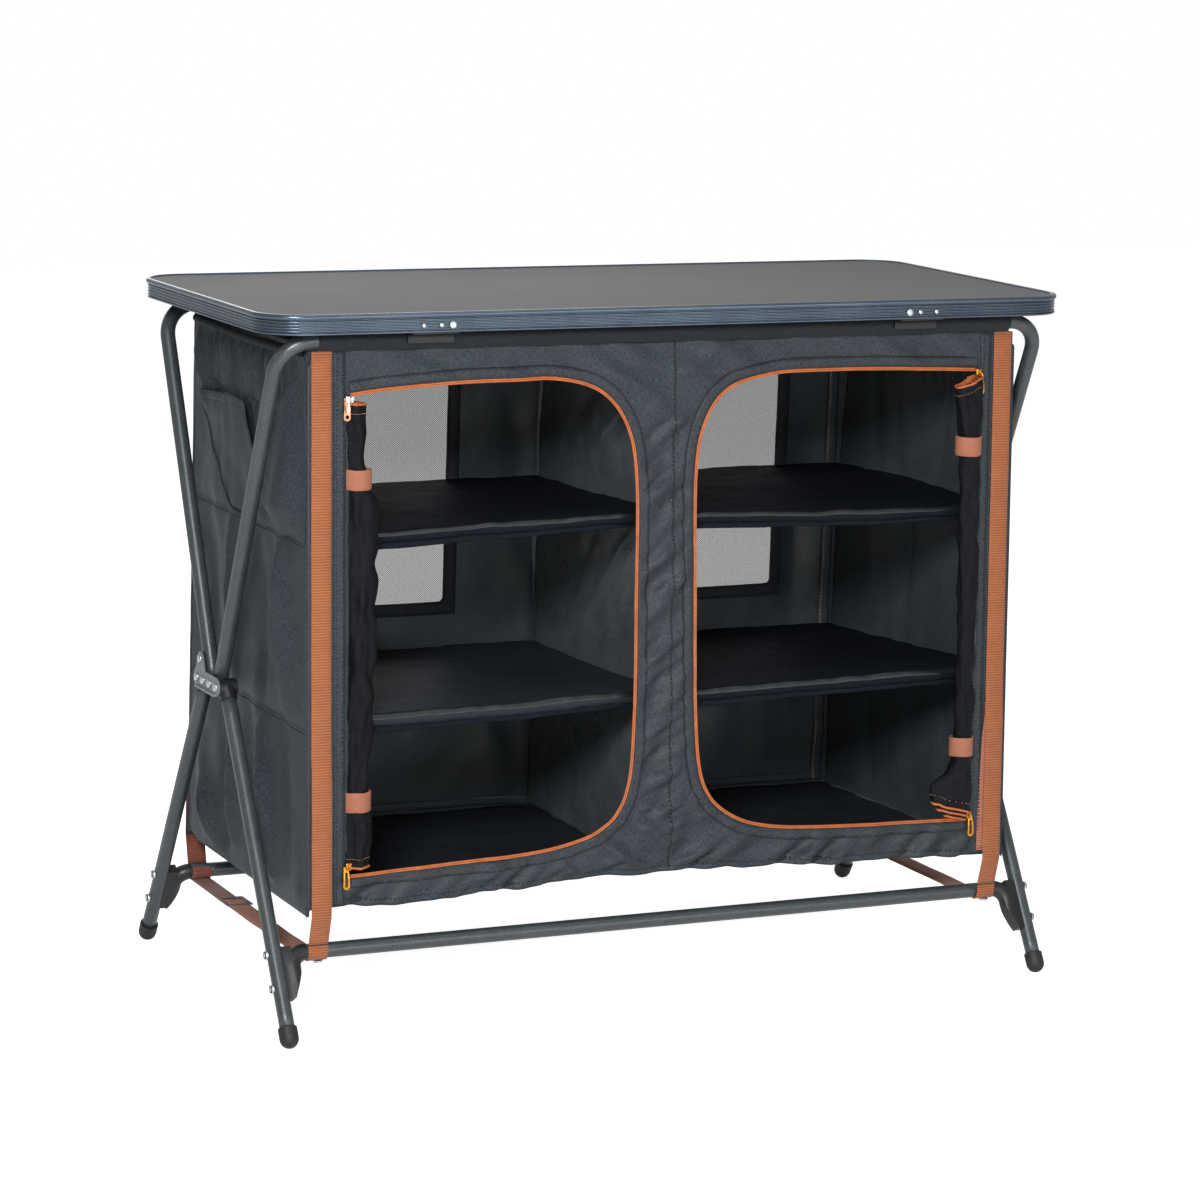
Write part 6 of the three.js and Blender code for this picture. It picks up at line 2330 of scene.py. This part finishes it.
@dataclass
class Studio:
    """The floor, the lights and the camera."""

    spot: tuple[float, float, float] = (-2.213, -4.8459, 1.4268)
    yaw: float = 0.4292
    pitch: float = -0.1762
    roll: float = 0.0228
    focal_pixels: float = 4149.4
    image_pixels: float = 1200.0
    sensor: float = 36.0
    ambient: float = 0.20
    floor_glow: float = 0.84
    aim_height: float = 0.45
    lamps: tuple[tuple[str, tuple[float, float, float], float, float], ...] = (
        ("key", (-2.5, -4.0, 2.5), 1.0, 225), ("fill", (1.6, -4.6, 1.2), 2.0, 42),
        ("top", (0.0, -0.8, 3.6), 2.6, 26), ("back", (0.8, 3.6, 2.2), 2.0, 24),
        ("low", (-0.5, -3.2, 0.45), 1.4, 20))

    def build(self) -> None:
        """Builds everything round the cupboard."""
        self.place_camera()
        self.lay_floor()
        self.light()

    def place_camera(self) -> None:
        """Places the camera as the photograph's was."""
        level = math.cos(self.pitch)
        ahead = Vector((math.sin(self.yaw) * level, math.cos(self.yaw) * level, math.sin(self.pitch)))
        right = Vector((math.cos(self.yaw), -math.sin(self.yaw), 0))
        up = right.cross(ahead)
        across = right * math.cos(self.roll) + up * math.sin(self.roll)
        upward = up * math.cos(self.roll) - right * math.sin(self.roll)
        lens = bpy.data.cameras.new("camera")
        lens.sensor_width = self.sensor
        lens.lens = self.sensor * self.focal_pixels / self.image_pixels
        camera = bpy.data.objects.new("camera", lens)
        bpy.context.scene.collection.objects.link(camera)
        turn = Matrix((across, upward, -ahead)).transposed().to_4x4()
        turn.translation = Vector(self.spot)
        camera.matrix_world = turn
        bpy.context.scene.camera = camera

    def seen(self, g: Graph, in_gloss: float) -> Socket:
        """1 for rays that show the background, from the camera or through holes, and a share in gloss."""
        path = g.node("ShaderNodeLightPath", {})
        gloss = g.math("MULTIPLY", path.outputs["Is Glossy Ray"], in_gloss)
        both = g.math("MAXIMUM", path.outputs["Is Camera Ray"], gloss)
        return g.math("MAXIMUM", both, path.outputs["Is Transmission Ray"])

    def lay_floor(self) -> None:
        """Lays a pale floor that keeps a soft shadow."""
        bm = bmesh.new()
        bmesh.ops.create_grid(bm, x_segments=8, y_segments=8, size=9.0)
        mesh = bpy.data.meshes.new("floor")
        bm.to_mesh(mesh)
        bm.free()
        g = Graph("pale floor")
        shader = g.node("ShaderNodeBsdfDiffuse", {"Color": (0.9, 0.9, 0.9, 1.0)})
        glow = g.math("MULTIPLY", self.seen(g, 0.5), self.floor_glow)
        lift = g.node("ShaderNodeEmission", {"Color": (1, 1, 1, 1), "Strength": glow})
        both = g.node("ShaderNodeAddShader", {0: shader.outputs[0], 1: lift.outputs[0]})
        g.put(g.output.inputs["Surface"], both.outputs[0])
        mesh.materials.append(g.material)
        floor = bpy.data.objects.new("floor", mesh)
        bpy.context.scene.collection.objects.link(floor)

    def light(self) -> None:
        """Lights the cupboard softly from the front, above and the left."""
        g = Graph("studio", world=True)
        bpy.context.scene.world = g.material
        level = g.spread(self.seen(g, 0.45), 0.0, 1.0, self.ambient, 1.0)
        sky = g.node("ShaderNodeBackground", {"Color": (1, 1, 1, 1), "Strength": level})
        g.put(g.output.inputs["Surface"], sky.outputs[0])
        for name, spot, size, power in self.lamps:
            lamp = bpy.data.lights.new(name, "AREA")
            lamp.energy = power
            lamp.size = size
            holder = bpy.data.objects.new(name, lamp)
            bpy.context.scene.collection.objects.link(holder)
            holder.location = spot
            holder.rotation_mode = "QUATERNION"
            aim = UP * self.aim_height - Vector(spot)
            holder.rotation_quaternion = aim.to_track_quat("-Z", "Y")
        bpy.context.scene.view_settings.view_transform = "Standard"


FRONT_FOLDS = folds(
    (-0.007, 0.43, 0.024, 0.452, 0.007, 0.0022), (-0.008, 0.394, 0.028, 0.425, 0.008, 0.0026),
    (-0.037, 0.346, 0.026, 0.382, 0.008, 0.0026), (-0.01, 0.516, 0.02, 0.542, 0.009, 0.0022),
    (-0.037, 0.434, -0.01, 0.456, 0.007, 0.0016), (-0.013, 0.57, 0.014, 0.59, 0.009, 0.002),
    (-0.006, 0.625, 0.02, 0.652, 0.01, 0.0018), (-0.049, 0.292, 0.031, 0.297, 0.009, 0.0022),
    (-0.062, 0.263, -0.013, 0.25, 0.008, 0.0026), (-0.013, 0.248, 0.05, 0.263, 0.008, 0.0026),
    (-0.085, 0.242, -0.02, 0.229, 0.008, 0.0024), (-0.011, 0.229, 0.06, 0.24, 0.008, 0.0024),
    (-0.104, 0.222, -0.035, 0.174, 0.01, 0.0036), (0.006, 0.172, 0.09, 0.219, 0.01, 0.0034),
    (0.06, 0.178, 0.112, 0.212, 0.01, 0.0028), (-0.2, 0.172, -0.172, 0.19, 0.01, 0.0024),
    (-0.256, 0.174, -0.23, 0.19, 0.01, 0.0024), (-0.145, 0.188, -0.13, 0.16, 0.008, 0.0022),
    (-0.33, 0.168, -0.3, 0.19, 0.012, 0.002), (0.19, 0.165, 0.215, 0.2, 0.012, 0.0024),
    (0.28, 0.17, 0.3, 0.198, 0.012, 0.0022), (0.365, 0.165, 0.392, 0.196, 0.012, 0.002),
    (-0.33, 0.812, -0.26, 0.832, 0.01, 0.0018), (0.01, 0.8, 0.055, 0.828, 0.01, 0.0024),
    (-0.085, 0.805, -0.02, 0.77, 0.01, 0.0024), (-0.03, 0.76, 0.018, 0.735, 0.01, 0.0018))
FRONT_HEM = (
    (-0.486, 0.159), (-0.44, 0.161), (-0.369, 0.157), (-0.299, 0.159), (-0.251, 0.1645),
    (-0.199, 0.1627), (-0.151, 0.169), (-0.085, 0.171), (-0.038, 0.1673), (-0.004, 0.17),
    (0.081, 0.1686), (0.112, 0.1648), (0.172, 0.166), (0.213, 0.161), (0.314, 0.1606), (0.425, 0.156),
    (0.486, 0.155))
ROLL_SIZES = {
    Side.LEFT: (
        (0.2, 0.98), (0.27, 0.98), (0.29, 0.95), (0.32, 0.98), (0.66, 1.0), (0.686, 0.94), (0.71, 0.82),
        (0.79, 0.78)),
    Side.RIGHT: (
        (0.2, 0.86), (0.285, 0.85), (0.32, 0.8), (0.4, 0.77), (0.52, 0.78), (0.62, 0.84), (0.675, 0.88),
        (0.696, 0.9), (0.73, 0.96), (0.79, 1.0))}
ROLL_FLARES = {
    Side.LEFT: (
        (0.2, 0.16), (0.27, 0.14), (0.28, 0.06), (0.31, 0.06), (0.416, 0.25), (0.54, 0.46),
        (0.627, 0.66), (0.655, 0.52), (0.674, 0.06), (0.71, 0.0)),
    Side.RIGHT: (
        (0.2, 3.4), (0.232, 2.9), (0.252, 2.1), (0.272, 0.45), (0.285, 0.0), (0.74, 0.0), (0.76, 0.25),
        (0.79, 0.45))}
SHELF_HEM_SECTION = (
    (0.0016, 0.0085), (0.0014, -0.0005), (0.001, -0.002), (0.0, -0.0026), (-0.0012, -0.002),
    (-0.0016, -0.0005), (-0.0008, 0.0085))
SHELF_LINES = {
    "upper_shelf_left": (
        (-0.472, 0.616), (-0.383, 0.617), (-0.224, 0.6215), (-0.042, 0.626), (-0.002, 0.627)),
    "upper_shelf_right": (
        (0.002, 0.622), (0.054, 0.622), (0.15, 0.619), (0.234, 0.616), (0.306, 0.6145), (0.416, 0.615),
        (0.472, 0.615)),
    "lower_shelf_left": (
        (-0.472, 0.39), (-0.38, 0.392), (-0.22, 0.394), (-0.043, 0.399), (-0.002, 0.4)),
    "lower_shelf_right": (
        (0.002, 0.395), (0.05, 0.396), (0.242, 0.399), (0.426, 0.402), (0.472, 0.403))}
LEFT_FOLDS = folds(
    (0.165, 0.25, 0.12, 0.165, 0.02, 0.006, 0.1), (0.096, 0.33, 0.078, 0.165, 0.018, -0.006, 0.1),
    (-0.065, 0.35, -0.113, 0.18, 0.016, 0.007, 0.2), (-0.139, 0.36, -0.158, 0.2, 0.018, -0.006, 0.1),
    (0.057, 0.33, 0.038, 0.19, 0.014, 0.005, 0.2), (-0.01, 0.36, -0.03, 0.2, 0.016, -0.004, 0.1),
    (0.15, 0.6, 0.13, 0.42, 0.022, -0.005, 0.1), (0.06, 0.59, 0.045, 0.4, 0.02, 0.005, 0.1),
    (-0.04, 0.59, -0.06, 0.4, 0.02, -0.005, 0.1), (-0.13, 0.59, -0.15, 0.4, 0.022, 0.006, 0.2),
    (0.2, 0.82, 0.15, 0.74, 0.016, 0.005, 0.4), (-0.185, 0.56, -0.2, 0.42, 0.016, -0.004, 0.1))
RIGHT_FOLDS = folds(
    (0.15, 0.78, 0.12, 0.64, 0.02, 0.006, 0.1), (0.06, 0.79, 0.04, 0.64, 0.018, -0.005, 0.1),
    (-0.05, 0.78, -0.04, 0.64, 0.02, 0.005, 0.1), (-0.14, 0.79, -0.12, 0.64, 0.02, -0.006, 0.2),
    (0.13, 0.59, 0.11, 0.41, 0.022, -0.005, 0.1), (0.03, 0.59, 0.04, 0.4, 0.018, 0.006, 0.2),
    (-0.08, 0.58, -0.06, 0.4, 0.02, -0.005, 0.1), (-0.16, 0.59, -0.15, 0.41, 0.02, 0.005, 0.1),
    (0.14, 0.35, 0.11, 0.18, 0.02, 0.006, 0.1), (0.04, 0.34, 0.03, 0.19, 0.018, -0.005, 0.1),
    (-0.07, 0.35, -0.09, 0.18, 0.018, 0.006, 0.2), (-0.16, 0.34, -0.15, 0.19, 0.02, -0.004, 0.1))
REAR_FOLDS = folds(
    (-0.03, 0.7, 0.01, 0.48, 0.022, 0.003, 0.1), (0.06, 0.76, 0.05, 0.56, 0.02, -0.003, 0.1),
    (-0.4, 0.6, -0.38, 0.38, 0.024, 0.003, 0.1), (0.41, 0.64, 0.4, 0.4, 0.024, 0.003, 0.1),
    (-0.25, 0.4, -0.18, 0.28, 0.024, 0.004, 0.1), (0.18, 0.41, 0.26, 0.27, 0.024, 0.004, 0.1),
    (-0.08, 0.33, -0.03, 0.19, 0.02, -0.003, 0.1), (0.1, 0.3, 0.08, 0.18, 0.02, 0.003, 0.1))
# Outlines as (y, z) of the patches of painted shade at the pocket's mouth and in the gaps beside it.
POCKET_SHADE = (
    (-0.002, 0.75), (-0.15, 0.76), (-0.16, 0.752), (-0.124, 0.7), (-0.105, 0.65), (-0.112, 0.607),
    (-0.085, 0.64), (-0.04, 0.7))
POCKET_GAP_SHADES = {
    "rear": ((0.172, 0.75), (0.121, 0.77), (0.104, 0.757), (0.12, 0.752)),
    "front": ((0.004, 0.758), (-0.026, 0.7585), (-0.017, 0.728), (-0.006, 0.742)),
    "lower": ((-0.066, 0.664), (-0.1, 0.676), (-0.108, 0.65), (-0.112, 0.608))}
POCKET = (
    (0.17, 0.75), (0.12, 0.7535), (0.075, 0.7565), (0.034, 0.7595), (0.0, 0.756), (-0.008, 0.745),
    (-0.034, 0.704), (-0.072, 0.655), (-0.112, 0.608), (-0.05, 0.609), (0.015, 0.609), (0.055, 0.613),
    (0.076, 0.62), (0.09, 0.64), (0.125, 0.69))
POCKET_EDGES = (
    ((0.17, 0.75), (0.125, 0.69), (0.09, 0.64), (0.076, 0.62), (0.055, 0.613), (0.015, 0.609)),
    ((-0.002, 0.754), (-0.034, 0.704), (-0.072, 0.655), (-0.112, 0.608)))
FRONT_FLAP = (
    (-0.196, 0.832), (-0.158, 0.765), (-0.126, 0.706), (-0.106, 0.655), (-0.113, 0.608), (-0.16, 0.609),
    (-0.2135, 0.61), (-0.2135, 0.7), (-0.2095, 0.79), (-0.206, 0.832))
DIVIDER_FOLDS = folds(
    (-0.116, 0.59, 0.061, 0.42, 0.012, 0.005, 0.3), (-0.083, 0.483, -0.017, 0.421, 0.01, 0.0032, 0.3),
    (-0.111, 0.309, 0.055, 0.18, 0.014, 0.005, 0.3), (-0.129, 0.34, -0.031, 0.265, 0.012, 0.0034, 0.2),
    (0.02, 0.56, 0.11, 0.45, 0.016, -0.004, 0.2), (-0.15, 0.8, 0.02, 0.66, 0.016, 0.0045, 0.2),
    (-0.05, 0.82, 0.12, 0.68, 0.016, -0.004, 0.2))


def main() -> None:
    """Builds the cupboard in order and reports what was made."""
    Studio().build()
    builders = [Tabletop(), TubeFrame(), FrontWall(Row.FRONT, FRONT_FOLDS, FRONT_HEM, 0.3),
                RearWall(Row.REAR, REAR_FOLDS, (), 7.1, 0.0022), SidePanel(Side.LEFT, LEFT_FOLDS),
                SidePanel(Side.RIGHT, RIGHT_FOLDS), Interior(DIVIDER_FOLDS), Straps()]
    for builder in builders:
        builder.build()
        LOG.info("%s is built", type(builder).__name__)


if __name__ == "__main__":
    logging.basicConfig(level=logging.INFO)
    main()
